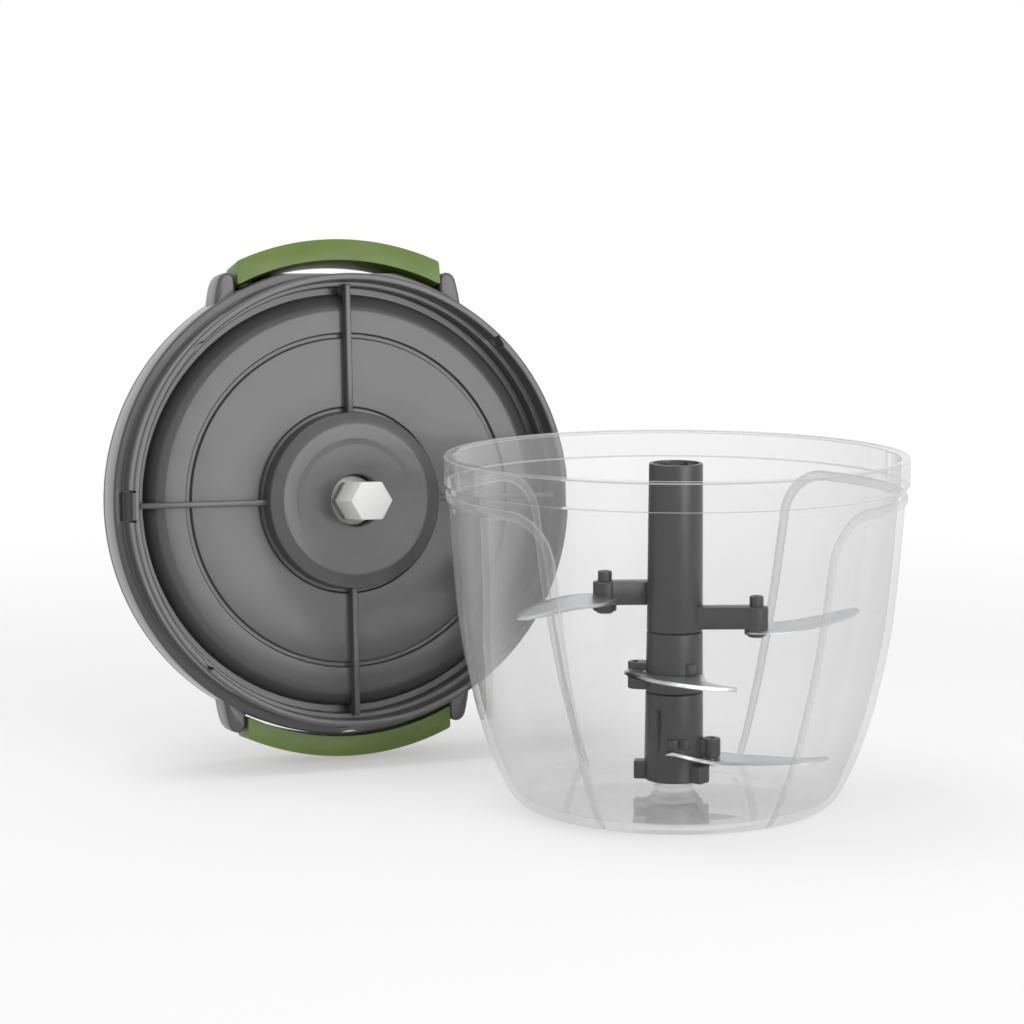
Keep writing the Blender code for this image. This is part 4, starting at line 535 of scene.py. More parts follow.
# Blade column: in the arms' tables 1 is the right arm and -1 the left one
columnFacts = {
    "turn": -18.3,
    "top": 123.0, "upperJoint": 62.3, "lowerJoint": 40.3, "foot": 7.9, "seam": 0.15,
    "topRadius": 9.67, "upperRadius": 10.1, "lowerRadius": 10.4, "footRadius": 10.8, "edge": 0.6,
    "socketAcross": 14.6, "socketDepth": 35.0, "spineAcross": 12.8, "spineTop": 84.3,
    "mouth": ((0, 124, 0), (8.5, 124, 0), (8.3, 122.4, 0), (7.2, 120.9, 0), (0, 120.9, 0)),
    "arms": {1: (63.6, 71.6), -1: (71.4, 79.8)}, "armReaches": {1: 29.0, -1: 25.0},
    "armOffset": 3.8, "armWidth": 6.6, "armRoot": 3.0, "armEnd": 3.7, "armBoss": 4.3, "bossBelow": 2.4,
    "stubRadius": 2.55, "stubHeight": 3.7, "headRadius": 3.0,
    "lugReach": 13.6, "lugRadius": 3.4,
    "middleLugAngle": 165.5, "middleLugs": ((40.7, 45.9, 0), (47.7, 50.4, 1.75)), "middleNubAngle": -62,
    "lowerLugAngle": -13.7, "lowerLug": (16.5, 23.4), "lowerNubAngles": (-97, -74),
    "footLugAngles": (173, -44, 57),
    "nubRadius": 2.1, "nubSunk": 0.7,
    "flange": ((0, 6, 0), (8.5, 6, 0), (8.5, 9.8, 0), (0, 9.8, 0)),
    "fin": (
        (17.0, 0.0), (19.5, 0.3), (22.5, 0.9), (26, 1.6), (29, 2.2), (31.5, 2.6), (33.4, 2.7), (34.3, 2.3),
        (34.7, 0.8), (34.6, -1.6), (17.0, -1.6),
    ),
    "finAngle": -128,
}


def columnRadius(height):
    facts = columnFacts
    return float(np.interp(height, [0] + [facts[name] for name in ("lowerJoint", "upperJoint", "top")],
                           [facts[name + "Radius"] for name in ("foot", "lower", "upper", "top")]))


def hubBody(name, bottom, top):
    low, high, ease = columnRadius(bottom), columnRadius(top), columnFacts["edge"]
    return lathe(name, [(0, top, 0), (high, top, ease), (low, bottom, ease), (0, bottom, 0)], 96, 4, 30)


def hexCut(across, bottom, top):
    return plate("hexCut", hexagon(across), bottom, top)


def armBar(facts, side):
    root, offset = side * facts["armRoot"], -side * facts["armOffset"]
    half, end = facts["armWidth"] / 2, facts["armEnd"]
    spread = math.degrees(math.pi - math.asin(half / end))
    outline = [(root, offset - side * half)]
    for i in range(25):
        x, y = polar(end, -spread + 2 * spread * i / 24)
        outline.append((side * (facts["armReaches"][side] + x), offset + side * y))
    outline.append((root, offset + side * half))
    return smooth(plate("arm", outline, *facts["arms"][side], 0.35, 2))


def boss(radius, bottom, top, ease=0.5, bore=0.0, depth=1.5):
    # a round boss, with a dark hole in its top where it has a bore
    corners = [(0, bottom, 0), (radius, bottom, ease), (radius, top, ease)]
    corners += [(bore, top, 0.3), (bore, top - depth, 0.2), (0, top - depth, 0)] if bore else [(0, top, 0)]
    return lathe("boss", corners, 48, 4)


def finishHub(name, hub, parts, *nodes):
    piece = turnedBy(joined(name, smooth(hub, 30), *parts), columnFacts["turn"])
    return done(piece, "blade_column", "column_grey", columnGrey, *nodes)


def makeUpperHub(facts):
    hub = hubBody("upperHub", facts["upperJoint"] + facts["seam"], facts["top"])
    # a shallow round mouth leads into the hexagon
    cutAway(hub, hexCut(facts["socketAcross"], facts["top"] - facts["socketDepth"], facts["top"] + 1),
            spun("mouth", eased(facts["mouth"]), 96),
            hexCut(facts["spineAcross"], facts["upperJoint"] - 1, facts["spineTop"]))
    parts = [armBar(facts, side) for side in (1, -1)]
    wide, broad = facts["stubRadius"], facts["headRadius"]
    for side in (1, -1):
        bottom, top = facts["arms"][side]
        tip, low = top + facts["stubHeight"], bottom - facts["bossBelow"]
        stub = lathe("stub", [(0, top - 1, 0), (wide, top - 1, 0), (wide, tip, 0.8), (1.4, tip, 0.2),
                              (1.2, tip - 0.4, 0.2), (0, tip - 0.4, 0)], 40, 4)
        head = lathe("head", [(0, low + 0.2, 0), (broad, low + 0.2, 0), (broad, low - 0.8, 0.4),
                              (0, low - 0.8, 0)], 40)
        for thing in (stub, boss(facts["armBoss"], low, top - 0.15, 0.6), head):
            parts.append(turnedBy(thing, 0, (side * facts["armReaches"][side], -side * facts["armOffset"], 0)))
    finishHub("upperHub", hub, parts, "upper_hub", "upper_right_pin", "upper_left_pin")


def webbedLug(facts, angle, bottom, top, trim, ease, *hole):
    # a boss beside the column, with the web that holds it; trim is taken off the web's two sides and its top
    radius, reach = facts["lugRadius"], facts["lugReach"]
    web = bar("web", (6, trim[0] - radius, bottom), (reach, radius - trim[0], top - trim[1]), ease[1])
    return [placed(boss(radius, bottom, top, ease[0], *hole), angle, reach), turnedBy(smooth(web), angle)]


def nub(facts, angle, seat, bottom, top, ease, *hole):
    # a small boss, sunk a little into the column's side as it is at the height of the seat
    piece = boss(facts["nubRadius"], bottom, top, ease, *hole)
    return placed(piece, angle, columnRadius(seat) - facts["nubSunk"])


def makeMiddleHub(facts):
    hub = hubBody("middleHub", facts["lowerJoint"] + facts["seam"], facts["upperJoint"] - facts["seam"])
    cutAway(hub, hexCut(facts["spineAcross"], facts["lowerJoint"] - 1, facts["upperJoint"] + 1))
    parts = [nub(facts, facts["middleNubAngle"], 48, 47.4, 51.5, 0.7, 0.9, 0.5)]
    for bottom, top, bore in facts["middleLugs"]:
        parts += webbedLug(facts, facts["middleLugAngle"], bottom, top, (0, 0), (0.4, 0.3), bore)
    finishHub("middleHub", hub, parts, "middle_hub")


def makeLowerHub(facts):
    bottom = facts["foot"]
    hub = hubBody("lowerHub", bottom, facts["lowerJoint"] - facts["seam"])
    cutAway(hub, hexCut(facts["spineAcross"], bottom - 1, facts["lowerJoint"] + 1),
            spun("flange", eased(facts["flange"]), 64))
    parts = webbedLug(facts, facts["lowerLugAngle"], *facts["lowerLug"], (0.6, 0.4), (0.7, 0.5), 1.5, 0.6)
    parts += [nub(facts, angle, 20, 20.7, 24.5, 0.8) for angle in facts["lowerNubAngles"]]
    for angle in facts["footLugAngles"]:
        lug = bar("footLug", (5, -3, bottom + 0.02), (14.4, 3, bottom + 6.6), 0.7)
        parts.append(turnedBy(smooth(lug), angle))
    # the thin curved fin on the front, stood upright off the hub's side
    fin = plate("fin", facts["fin"], -0.6, 0.6, 0.25, 2)
    fin.data.transform(Matrix(((0, 1, 0, 0), (0, 0, 1, 0), (1, 0, 0, 0), (0, 0, 0, 1))))
    parts.append(placed(smooth(fin), facts["finAngle"], columnRadius(27) - 0.1, facts["finAngle"]))
    finishHub("lowerHub", hub, parts, "lower_hub")


makeUpperHub(columnFacts)
makeMiddleHub(columnFacts)
makeLowerHub(columnFacts)
print("column hubs made")


# Blades: the outlines are shares of each blade's reach; the upper ones start with "edgeCount" points of the
# leading edge, up to the tip
bladeFacts = {
    "thick": 1.2, "ground": 2.4, "groundEdge": 0.28,
    "upperReach": 71.0, "upperRise": 3.0, "upperBottoms": (62.1, 73.4), "edgeCount": 8,
    "rightSwing": -10.0, "leftSwing": 6.0, "leftPitch": 0.12, "leftRise": -0.7,
    "upperShares": (
        (0.356, -0.106), (0.408, -0.128), (0.535, -0.099), (0.662, -0.014), (0.775, 0.106), (0.859, 0.218),
        (0.908, 0.317), (0.923, 0.387), (0.873, 0.401), (0.789, 0.352), (0.690, 0.275), (0.577, 0.197),
        (0.465, 0.134), (0.380, 0.060), (0.352, -0.010),
    ),
    "lowerReach": 56.0, "lowerHeight": 15.0, "lowerRise": 4.2, "lowerTurn": -5.0,
    "lowerLead": (
        (0.245, -104), (0.26, -88), (0.275, -68), (0.325, -48), (0.42, -32), (0.57, -20), (0.76, -13),
        (0.91, -6), (1.0, 1),
    ),
    "lowerTrail": ((0.985, 2), (0.87, -1), (0.72, 0), (0.56, 4), (0.42, 12), (0.31, 28), (0.245, 44)),
    "middleReach": 38.0, "middleHeight": 46.2, "middleTurn": -61.0,
    "middleLead": (
        (0.36, -150), (0.46, -142), (0.48, -130), (0.45, -116), (0.42, -98), (0.43, -78), (0.48, -58),
        (0.58, -38), (0.76, -20), (0.92, -8), (1.0, 1),
    ),
    "middleTrail": ((0.97, 2), (0.82, -2), (0.62, -4), (0.47, 3), (0.37, 15), (0.31, 28)),
}


def spacedAlong(line, count):
    # the same line as evenly spaced points
    line = np.array(line)
    run = np.concatenate([[0], np.cumsum(np.linalg.norm(np.diff(line, axis=0), axis=1))])
    marks = np.linspace(0, run[-1], count)
    return np.stack([np.interp(marks, run, line[:, 0]), np.interp(marks, run, line[:, 1])], axis=1)


def groundBlade(name, lead, trail, height, turn, rise):
    # lofted from root to tip between its two edges, round the column; the leading edge is ground to a thin edge
    facts = bladeFacts
    stations, across = 44, 9
    lead, trail = (spacedAlong(smoothCurve(edge, 6), stations) for edge in (lead, trail))
    points = []
    for first, last in zip(lead, trail):
        r0, r1 = np.hypot(*first), np.hypot(*last)
        a0, a1 = math.atan2(first[1], first[0]), math.atan2(last[1], last[0])
        if a0 - a1 > 1:
            # the root reaches round the front of the column, so its angles are counted on from there
            a0 -= math.tau
        width = max(math.dist(first, last), abs(a1 - a0) * (r0 + r1) / 2)
        ground = min(facts["ground"] / max(width, 0.01), 0.42)
        top, bottom = [], []
        for share in [0.0] + [ground + (1 - ground) * j / (across - 2) for j in range(across - 1)]:
            radius, angle = r0 + (r1 - r0) * share, a0 + (a1 - a0) * share
            x, y = radius * math.cos(angle), radius * math.sin(angle)
            low = height + rise(x, y)
            top.append((x, y, low + (facts["thick"] if share else facts["groundEdge"])))
            bottom.append((x, y, low))
        points += top + bottom[::-1]
    ring = 2 * across
    ends = [tuple(range(ring))[::-1], tuple((stations - 1) * ring + j for j in range(ring))]
    piece = welded(meshed(name, points, ringFaces(stations, ring) + ends))
    return turnedBy(smooth(easeEdges(piece, 0.12, 2, 50), 25), columnFacts["turn"] + turn)


def makeBlades(facts):
    reach, least = facts["upperReach"], columnFacts["footRadius"] + 0.5
    armReach, leftReach = columnFacts["armReaches"][1], columnFacts["armReaches"][-1]
    pin, leftPin = Vector((armReach, -columnFacts["armOffset"])), Vector((leftReach, -columnFacts["armOffset"]))

    def swung(degrees, shift):
        # the upper blade's outline, turned about its pin and moved along the arm
        found = [pin + Matrix.Rotation(math.radians(degrees), 2) @ (Vector((x * reach, y * reach)) - pin)
                 for x, y in facts["upperShares"]]
        return [(spot.x + shift, spot.y) for spot in found]

    def upperRise(x, y):
        share = (math.hypot(x, y) - armReach) / (reach - armReach)
        return facts["upperRise"] * max(share, 0) ** 2

    def lowerRise(x, y):
        behind = facts["lowerTurn"] - 30 - math.degrees(math.atan2(y, x))
        return facts["lowerRise"] * min(max(behind / 60, 0), 1)

    count = facts["edgeCount"]
    left = swung(facts["leftSwing"], leftReach - armReach)
    along = (Vector(left[count - 1]) - leftPin).normalized()

    def leftRise(x, y):
        # tipped about the line from its pin to its tip, so that its face shows from the front
        aside = along.x * (y - leftPin.y) - along.y * (x - leftPin.x)
        return facts["leftRise"] * upperRise(x, y) - facts["leftPitch"] * aside

    for side, bottom, turn, outline, rise in (
            ("Right", facts["upperBottoms"][0], 0, swung(facts["rightSwing"], 0), upperRise),
            ("Left", facts["upperBottoms"][1], 180, left, leftRise)):
        blade = groundBlade("upper%sBlade" % side, outline[:count], outline[:count - 1:-1], bottom, turn, rise)
        done(blade, "blade_column", "steel", bladeSteel, "upper_%s_blade" % side.lower())
    for name, rise in (("lower", lowerRise), ("middle", lambda x, y: 0)):
        size, turn = facts[name + "Reach"], facts[name + "Turn"]
        lead, trail = ([polar(max(share * size, least), turn + degrees)
                        for share, degrees in facts[name + edge]] for edge in ("Lead", "Trail"))
        trail.reverse()
        for edge in (lead, trail):
            # both edges start at the column's side
            edge.insert(0, tuple(c * least / math.hypot(*edge[0]) for c in edge[0]))
        blade = groundBlade(name + "Blade", lead, trail, facts[name + "Height"], 0, rise)
        done(blade, "blade_column", "steel", bladeSteel, name + "_blade")


makeBlades(bladeFacts)
print("blades made")


# Lid
lidOrigin = Vector((-0.0896, 0.1123, 0.099865))
lidSide = Vector((-0.999848, 0.001976, 0.01734)).normalized()
lidAxis = Vector((0.0, 0.993572, -0.113203)).normalized()
lidUp = lidAxis.cross(lidSide)
lidPlace = Matrix.Translation(lidOrigin) @ Matrix((lidSide, lidUp, lidAxis)).transposed().to_4x4()

lidFacts = {
    # the underside from the hub's hole out to the plate's cove, then the skirt, the outer edge and the inside
    "underside": (
        (9.9, -7.4, 0), (9.9, -15.8, 0.5), (21.2, -15.8, 2.0), (23.6, -16.0, 2.0), (28.5, -16.0, 6.0),
        (33.5, -14.8, 1.0), (33.7, -5.7, 0.5), (35.4, -5.7, 0.5), (35.7, -6.6, 0.4), (61.8, -6.6, 0.4),
        (62.1, -5.0, 0.3), (63.6, -5.0, 0.3), (64.1, -6.6, 0.6),
    ),
    "coveStart": 70.5, "coveEnd": 79.0, "plate": 6.6,
    "outside": (
        (79.0, 0.0, 0), (81.6, 0.0, 0.3), (81.6, -7.0, 0.5), (83.5, -7.0, 0.4), (83.5, -16.0, 0.7),
        (86.2, -16.0, 0.8), (86.2, 0.0, 0.7), (90.0, 0.0, 0.9), (90.0, 16.5, 0.6), (87.6, 16.5, 0.3),
        (87.6, 2.4, 1.0), (80.5, 2.4, 1.0), (74.0, -1.5, 4.0), (66.0, -4.2, 3.0), (33.2, -4.2, 0.8),
        (33.2, 6.0, 0.4), (31.2, 6.0, 0.4), (31.2, -13.2, 1.0), (12.1, -13.2, 0.5), (12.1, -7.4, 0.3),
        (9.9, -7.4, 0),
    ),
    "rib": ((32.0, -1.1, -11.0), (82.4, 1.1, -3.0)),
    "ears": (
        (40.9, 79), (40.9, 84.6), (41.3, 86.1), (42.3, 87.1), (43.7, 87.5), (45.2, 87.2), (46.5, 86.3),
        (47.4, 84.7), (48.0, 82.3), (48.7, 79.0), (49.2, 75.7), (49.3, 73.4), (45, 76.3),
    ),
    "earFront": 0.6, "earBack": 16.2, "earTop": 87.5, "earRound": 8.5, "flat": 87.0,
    # the slits beside a latch tongue, and the tongue's thinner end
    "tongueCuts": (
        ((82.9, -5.95, -17.0), (87.0, -5.05, -2.6)), ((82.9, 5.05, -17.0), (87.0, 5.95, -2.6)),
        ((85.1, -5.2, -17), (87, 5.2, -9)),
    ),
    "nick": ((82.9, -2.25, -17), (84.9, 2.25, -8)), "nickPivot": 86, "nickTurn": 16,
    "slot": ((86.5, -5.6, -0.5), (87.7, 5.6, 2.0)),
    "flatCut": ((-30, 87.0, -0.8), (30, 95, 17.5)), "backing": ((-21.5, 85.0, 1.2), (21.5, 87.0, 16.3)),
    "notch": ((0, -2), (13, -2), (13, 17.5), (0, 17.5)), "notchAt": -101.8,
}


def onLid(piece, place=lidPlace):
    piece.data.transform(place)
    return piece


def roundedEar(ear, facts):
    # rounds the ear's back corner off, like the end of a thumb
    radius = facts["earRound"]
    middle = Vector((facts["earBack"] - radius, facts["earTop"] - radius))
    pick(ear)
    for share in (0.0, 0.25, 0.5, 0.7, 0.87):
        editAll()
        bpy.ops.mesh.bisect(plane_co=(0, 0, (middle.x + radius * share) * mm), plane_no=(0, 0, 1))
    bpy.ops.object.mode_set(mode="OBJECT")
    for vertex in ear.data.vertices:
        back, out = vertex.co.z / mm - middle.x, abs(vertex.co.y) / mm - middle.y
        if back > 0 and out > 0 and math.hypot(back, out) > radius:
            shrink = radius / math.hypot(back, out)
            vertex.co.z = (middle.x + back * shrink) * mm
            vertex.co.y = math.copysign((middle.y + out * shrink) * mm, vertex.co.y)
    return smooth(ear)


def makeLidBase(facts):
    start, end, plateDepth = facts["coveStart"], facts["coveEnd"], facts["plate"]
    section = eased(facts["underside"], 4)
    section += [(start + (end - start) * s, -plateDepth * c) for c, s in quarterTurn(12, 1)]
    base = smooth(spun("lidBase", section + eased(facts["outside"], 4)[1:], 256), 30)
    parts = [turnedBy(smooth(bar("rib", *facts["rib"], 0.4)), 90 * i) for i in range(4)]
    for up in (1, -1):
        for side in (1, -1):
            outline = [(side * x, up * y) for x, y in facts["ears"]]
            parts.append(roundedEar(plate("ear", outline, facts["earFront"], facts["earBack"], 1.2, 4), facts))
    for turn in (0, 180):
        cutAway(base, *(turnedBy(bar("gap", low, high, 0.05), turn) for low, high in facts["tongueCuts"]))
    pivot = Matrix.Translation((facts["nickPivot"] * mm, 0, 0))
    lean = Matrix.Rotation(math.radians(facts["nickTurn"]), 4, "Z")
    for i in range(4):
        nick = bar("nick", *facts["nick"], 0.1)
        nick.data.transform(pivot @ lean @ pivot.inverted())
        cutAway(base, turnedBy(nick, 45 + 90 * i))
    for i in range(4):
        cutAway(base, turnedBy(bar("slot", *facts["slot"], 0.1), 90 * i))
    # the edge is flat under the upper clip, with a wall behind it, and has a small notch over the lower clip
    cutAway(base, bar("flat", *facts["flatCut"], 0.05))
    parts.append(smooth(bar("backing", *facts["backing"], 0.2)))
    cutAway(base, turnedBy(spun("notch", facts["notch"], 64), 0, (0, facts["notchAt"], 0)))
    piece = onLid(joined("lidBase", smooth(base, 30), *parts))
    # the hinge pins end inside the ears, out of sight
    return done(piece, "lid", "lid_grey", lidGrey, "lid_base", "upper_clip_left_pin", "upper_clip_right_pin",
                "lower_clip_left_pin", "lower_clip_right_pin")


lidBase = makeLidBase(lidFacts)
print("lid base made,", len(lidBase.data.polygons), "faces")

clipFacts = {
    "upperInner": 90.3, "lowerInner": 90.8, "outer": 98.5, "front": -1.0, "back": 15.0, "half": 40.5,
    "round": 1.2, "corner": 1.6, "innerCorner": 0.8, "hingeUp": 86.2, "hingeBack": 12.5,
    "upperOpen": 8.0, "lowerOpen": 0,
}


def makeClip(name, up, inner, opened):
    facts = clipFacts
    # the arcs leave room at their ends for the rounded corners
    shares = [0.0, *np.linspace(0.07, 0.93, 41).tolist(), 1.0]
    outline = []
    for radius, corner, way in ((facts["outer"], facts["corner"], 1), (inner, facts["innerCorner"], -1)):
        limit = math.asin(facts["half"] / radius)
        for share in shares:
            angle = way * limit * (2 * share - 1)
            outline.append((radius * math.sin(angle), radius * math.cos(angle),
                            corner if share in (0.0, 1.0) else 0))
    # the line starts in the middle of the outer arc, away from every corner
    middle = len(shares) // 2
    spots = [(x, up * y) for x, y in eased(outline[middle:] + outline[:middle])]
    clip = smooth(plate(name, spots, facts["front"], facts["back"], facts["round"], 4), 40)
    hinge = Vector((0, up * facts["hingeUp"], facts["hingeBack"])) * mm
    swing = Matrix.Rotation(math.radians(opened), 4, "X")
    return onLid(clip, lidPlace @ Matrix.Translation(hinge) @ swing @ Matrix.Translation(-hinge))


# the lower clip's inner arc is wider, so that it keeps clear of the skirt when it swings
for name, up in (("upper", 1), ("lower", -1)):
    clip = makeClip(name + "Clip", up, clipFacts[name + "Inner"], clipFacts[name + "Open"])
    done(clip, name + "_clip", "clip_green", clipGreen, name + "_clip")
print("clips made")

# Drive shaft
driveFacts = {
    "across": 14.0, "tip": -35.7, "end": -9, "ease": 0.45,
    "collar": (
        (0, -9.9, 0), (9.3, -9.9, 0.4), (9.3, -7.75, 0.3), (5.0, -7.75, 0.3), (5.0, -4.6, 0), (0, -4.6, 0),
    ),
}


def makeDriveShaft(facts):
    shaft = plate("driveShaft", hexagon(facts["across"]), facts["tip"], facts["end"], facts["ease"])
    piece = joined("driveShaft", smooth(shaft, 40), lathe("collar", facts["collar"], 64))
    return done(onLid(piece), "drive", "white_plastic", acetalWhite, "drive_shaft")


makeDriveShaft(driveFacts)

# Top cover with its screws
coverFacts = {
    "corners": (
        (10.5, 8.1, 0), (10.5, 23.2, 0.5), (15.5, 23.2, 0.3), (15.9, 22.7, 0.3), (17.2, 22.7, 0.3),
        (17.6, 23.15, 0.3), (60.3, 22.75, 6.0), (76.0, 21.9, 0.4), (76.4, 21.3, 0.3), (77.8, 21.2, 0.3),
        (78.3, 21.8, 0.4), (85.2, 21.2, 3.0), (90.0, 19.3, 3.0), (90.0, 16.8, 0.4), (87.3, 16.8, 0.2),
        (87.3, 15.2, 0.3), (85.7, 15.2, 0.3), (85.7, 17.8, 1.0), (84.0, 19.0, 1.0), (60.0, 20.5, 1.0),
        (12.3, 21.0, 0.5), (12.3, 8.1, 0.2), (10.5, 8.1, 0),
    ),
    "screwReach": 52.0, "screwAngles": (45, 135, 225, 315), "screwHead": 2.7, "headHeight": 1.3,
    "screwSeat": 20.9,
    "well": ((0, 20.9, 0), (3.2, 20.9, 0.2), (3.2, 24, 0), (0, 24, 0)),
    "shank": ((0, 12, 0), (1.5, 12, 0.3), (1.5, 21, 0), (0, 21, 0)),
}


def crossHead(radius, height):
    # a pan head with a cross cut into it, its underside at zero
    head = lathe("head", [(0, 0, 0), (radius, 0, 0.1), (radius, height * 0.7, 0.4), (radius * 0.5, height, 0.8),
                          (0, height, 0)], 40, 4)
    size, half = radius * 0.62, radius * 0.13
    for turn in (0, 90):
        cross = bar("cross", (-size, -half, height * 0.35), (size, half, height + 1), 0.03)
        cutAway(head, turnedBy(cross, turn))
    return smooth(head)


def makeCover(facts):
    cover = spun("lidCover", eased(facts["corners"], 4), 256)
    spots = [polar(facts["screwReach"], angle) for angle in facts["screwAngles"]]
    for x, y in spots:
        cutAway(cover, turnedBy(lathe("well", facts["well"], 40), 0, (x, y, 0)))
    cutAway(cover, bar("flat", (-30, lidFacts["flat"], 16), (30, 95, 25), 0.05))
    done(onLid(smooth(cover, 30)), "lid", "lid_grey", lidGrey, "lid_cover")
    for i, (x, y) in enumerate(spots):
        head = crossHead(facts["screwHead"], facts["headHeight"])
        turnedBy(head, 20 + 55 * i, (x, y, facts["screwSeat"] + 0.05))
        shank = turnedBy(lathe("shank", facts["shank"], 24), 0, (x, y, 0))
        screw = onLid(joined("coverScrew%d" % (i + 1), head, shank))
        done(screw, "lid", "steel", pinSteel, "cover_screw_%d" % (i + 1))


makeCover(coverFacts)
print("cover made")

# Crank and knob
crankFacts = {
    "reach": 58.0, "hub": 13.0, "end": 8.5, "bottom": 24.2, "top": 31.2, "hubTop": 33.2, "hubBore": 7.1,
    "panelInset": 2.4, "panelDepth": 1.1, "capRadius": 6.8,
    "knobBottom": 31.7, "knobHeight": 27.0, "knobRadius": 13.2, "knobCap": 7.2,
    "knobShares": (
        (0.68, 0.0), (0.655, 0.08), (0.70, 0.2), (0.84, 0.36), (0.97, 0.56), (1.0, 0.74), (0.94, 0.88),
        (0.80, 0.965), (0.60, 1.0),
    ),
}


def crankOutline(facts, inset=0.0):
    # round the hub, then round the knob's end
    slope = math.degrees(math.asin((facts["hub"] - facts["end"]) / facts["reach"]))
    points = [polar(facts["hub"] - inset, -slope + (180 + 2 * slope) * i / 32) for i in range(33)]
    for i in range(25):
        x, y = polar(facts["end"] - inset, 180 + slope + (180 - 2 * slope) * i / 24)
        points.append((x, y - facts["reach"]))
    return points


def makeCap(name, radius, top, sunk, body, node, place):
    # a slightly domed green cap
    corners = [(0, top - sunk, 0), (radius, top - sunk, 0), (radius, top, 0.5), (3.5, top + 0.3, 2.0),
               (0, top + 0.3, 0)]
    done(onLid(lathe(name, corners, 96), place), body, "clip_green", clipGreen, node)


def makeCrank(facts):
    arm = plate("crankArm", crankOutline(facts), facts["bottom"], facts["top"])
    cutAway(arm, plate("panel", crankOutline(facts, facts["panelInset"]), facts["top"] - facts["panelDepth"],
                       facts["top"] + 2))
    smooth(easeEdges(arm, 0.55, 3, 40))
    bore, high, low = facts["hubBore"], facts["hubTop"], facts["bottom"] + 3
    corners = [(bore, 27, 0), (bore, high, 0.3), (facts["hub"] - 0.6, high, 1.2), (facts["hub"], low, 0),
               (bore, low, 0)]
    hub = lathe("hub", corners, 96)
    end = lathe("end", [(0, 27, 0), (7.6, 27, 0), (7.6, facts["top"], 0.6), (0, facts["top"], 0)], 64)
    piece = joined("crankArm", arm, hub, turnedBy(end, 0, (0, -facts["reach"], 0)))
    done(onLid(piece), "crank", "lid_grey", lidGrey, "crank_arm")
    makeCap("crankCap", facts["capRadius"], high, 1.6, "crank", "crank_cap", lidPlace)


def makeKnob(facts):
    low, tall = facts["knobBottom"], facts["knobHeight"]
    line = smoothCurve([(facts["knobRadius"] * r, low + tall * h) for r, h in facts["knobShares"]], 6)
    cap, top = facts["knobCap"] + 0.3, low + tall
    line = [(0, low), (8.4, low), (8.8, low + 0.15)] + line[1:]
    line += [(cap + 0.3, top), (cap, top - 0.3), (cap, top - 1.6), (0, top - 1.6)]
    place = lidPlace @ Matrix.Translation((0, -facts["reach"] * mm, 0))
    knob = onLid(smooth(spun("crankKnob", line, 96)), place)
    done(knob, "knob", "lid_grey", lidGrey, "crank_knob")
    makeCap("knobCap", facts["knobCap"], top, 1.5, "knob", "knob_cap", place)


makeCrank(crankFacts)
makeKnob(crankFacts)
print("crank and knob made")

# Finishes of the CAD parts that stay
finishes = (
    (acetalWhite, ("column_spine", "sun_pinion", "ring_gear", "planet_gear_1", "planet_gear_2",
                   "planet_gear_3")),
    (lidGrey, ("planet_carrier",)),
)
for name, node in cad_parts.items():
    chosen = [material for material, names in finishes if name in names]
    node.data.materials.clear()
    node.data.materials.append(chosen[0] if chosen else pinSteel)

# Room: the floor glows white away from the object, from nearReach to farReach in metres
roomFacts = {
    "floor": "#f4f4f4", "middle": (-0.04, 0.03, 0), "glowNear": 0.40, "glowFar": 1.0, "nearReach": 0.28,
    "farReach": 0.75, "ambient": 0.66,
    "lamps": (("keyLamp", (-0.4, 0.2, 1.4), (-0.02, 0.03, 0.05), 0.8, 6.2),
              ("fillLamp", (0.45, -1.35, 0.4), (0, 0, 0.08), 1.1, 11.5)),
}


def seenByEye(tree, path):
    # 1 for what the camera sees, on its own or by way of a reflection or clear plastic
    either = addNode(tree, "Math", {0: path.outputs["Is Camera Ray"], 1: path.outputs["Is Glossy Ray"]},
                     operation="MAXIMUM")
    return addNode(tree, "Math", {0: either, 1: path.outputs["Is Transmission Ray"]}, operation="MAXIMUM")


def makeFloor(facts):
    bpy.ops.mesh.primitive_plane_add(size=30, location=(0, 0, -0.3 * mm))
    floor = settle(bpy.context.object)
    floor.name = "floor"
    material, tree, place = startMaterial("pale_floor")
    plain = addNode(tree, "BsdfDiffuse", {"Color": srgb(facts["floor"])})
    glow = addNode(tree, "Emission", {"Color": (1, 1, 1, 1), "Strength": 1.0})
    seen = seenByEye(tree, addNode(tree, "LightPath"))
    away = addNode(tree, "VectorMath", {1: facts["middle"], 0: place}, operation="DISTANCE")
    glowing = addNode(tree, "MapRange", {"From Min": facts["nearReach"], "From Max": facts["farReach"],
                                         "To Min": facts["glowNear"], "To Max": facts["glowFar"],
                                         "Value": away.outputs["Value"]}, interpolation_type="SMOOTHSTEP")
    share = addNode(tree, "Math", {0: seen, 1: glowing}, operation="MULTIPLY")
    mix = addNode(tree, "MixShader", {"Fac": share, 1: plain, 2: glow})
    addNode(tree, "OutputMaterial", {"Surface": mix})
    floor.data.materials.append(material)


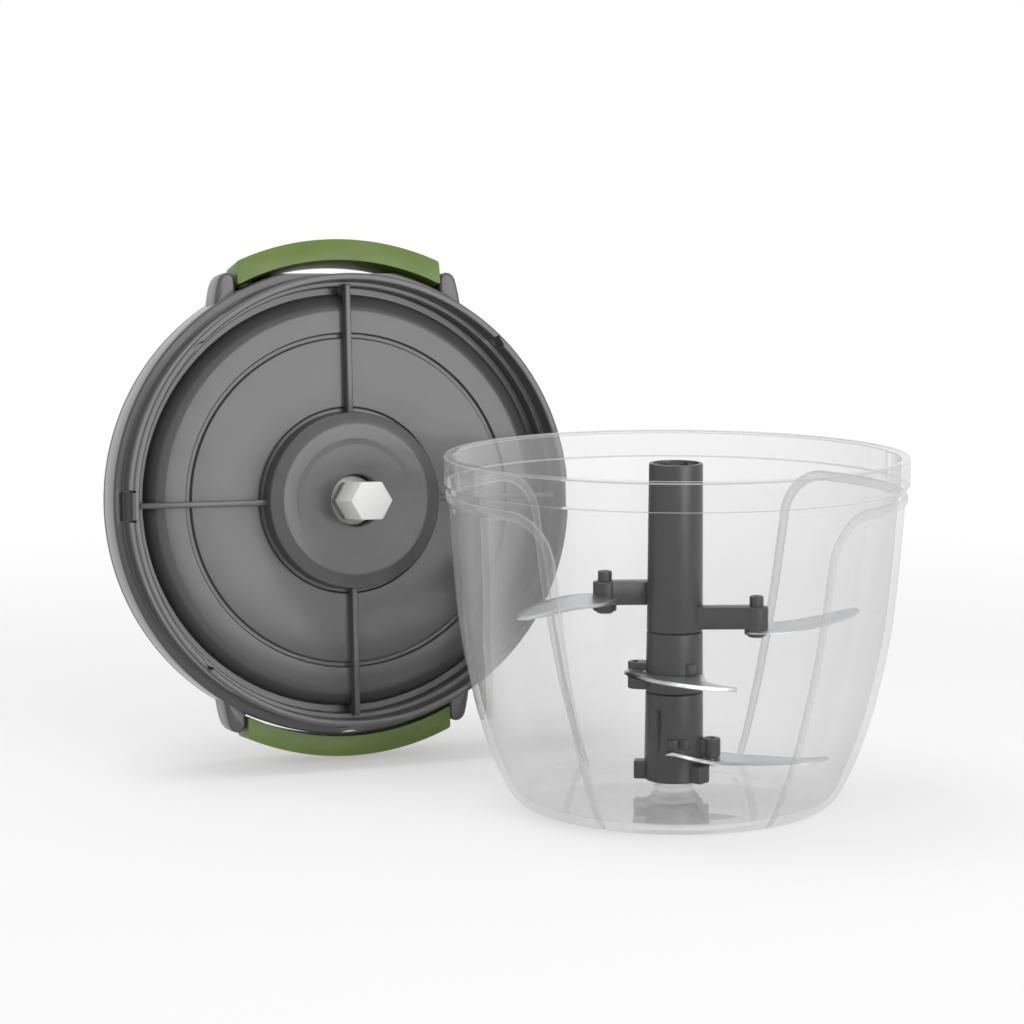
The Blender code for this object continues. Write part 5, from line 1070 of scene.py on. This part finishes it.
def makeWorld(facts):
    # white where it is seen, dimmer as light on the surfaces
    world = bpy.data.worlds.new("pale_room")
    bpy.context.scene.world = world
    tree = freshTree(world)
    path = addNode(tree, "LightPath")
    first = addNode(tree, "Math", {1: 0.5, 0: path.outputs["Diffuse Depth"]}, operation="LESS_THAN")
    seen = addNode(tree, "Math", {0: seenByEye(tree, path), 1: first}, operation="MULTIPLY")
    level = addNode(tree, "MapRange", {"To Min": facts["ambient"], "To Max": 1.0, "Value": seen})
    back = addNode(tree, "Background", {"Color": (1, 1, 1, 1), "Strength": level})
    addNode(tree, "OutputWorld", {"Surface": back})


def addLamp(name, place, aim, size, power):
    lamp = bpy.data.lights.new(name, "AREA")
    lamp.shape = "DISK"
    lamp.size = size
    lamp.energy = power
    thing = bpy.data.objects.new(name, lamp)
    bpy.context.scene.collection.objects.link(thing)
    thing.location = place
    thing.rotation_euler = (Vector(aim) - Vector(place)).to_track_quat("-Z", "Y").to_euler()


makeFloor(roomFacts)
makeWorld(roomFacts)
for lamp in roomFacts["lamps"]:
    addLamp(*lamp)

# the camera stands where the photograph was taken from, left of the front and looking a little down; its
# distances are in metres
cameraFacts = {
    "yaw": 20.3, "pitch": 7.713, "away": 0.9936, "left": 0.0586, "up": 0.2398, "lens": 98.4375, "sensor": 36,
}
yaw, pitch = math.radians(cameraFacts["yaw"]), math.radians(cameraFacts["pitch"])
rightward = Vector((math.cos(yaw), -math.sin(yaw), 0))
forward = Vector((math.sin(yaw), math.cos(yaw), 0))
gaze = forward * math.cos(pitch) - Vector((0, 0, math.sin(pitch)))
upward = rightward.cross(gaze)
cameraData = bpy.data.cameras.new("camera")
cameraData.lens = cameraFacts["lens"]
cameraData.sensor_width = cameraFacts["sensor"]
camera = bpy.data.objects.new("camera", cameraData)
bpy.context.scene.collection.objects.link(camera)
spot = -forward * cameraFacts["away"] - rightward * cameraFacts["left"] + Vector((0, 0, cameraFacts["up"]))
camera.matrix_world = Matrix.Translation(spot) @ Matrix((rightward, upward, -gaze)).transposed().to_4x4()
bpy.context.scene.camera = camera

bpy.context.scene.view_settings.view_transform = "Standard"
print("room, lamps and camera set")
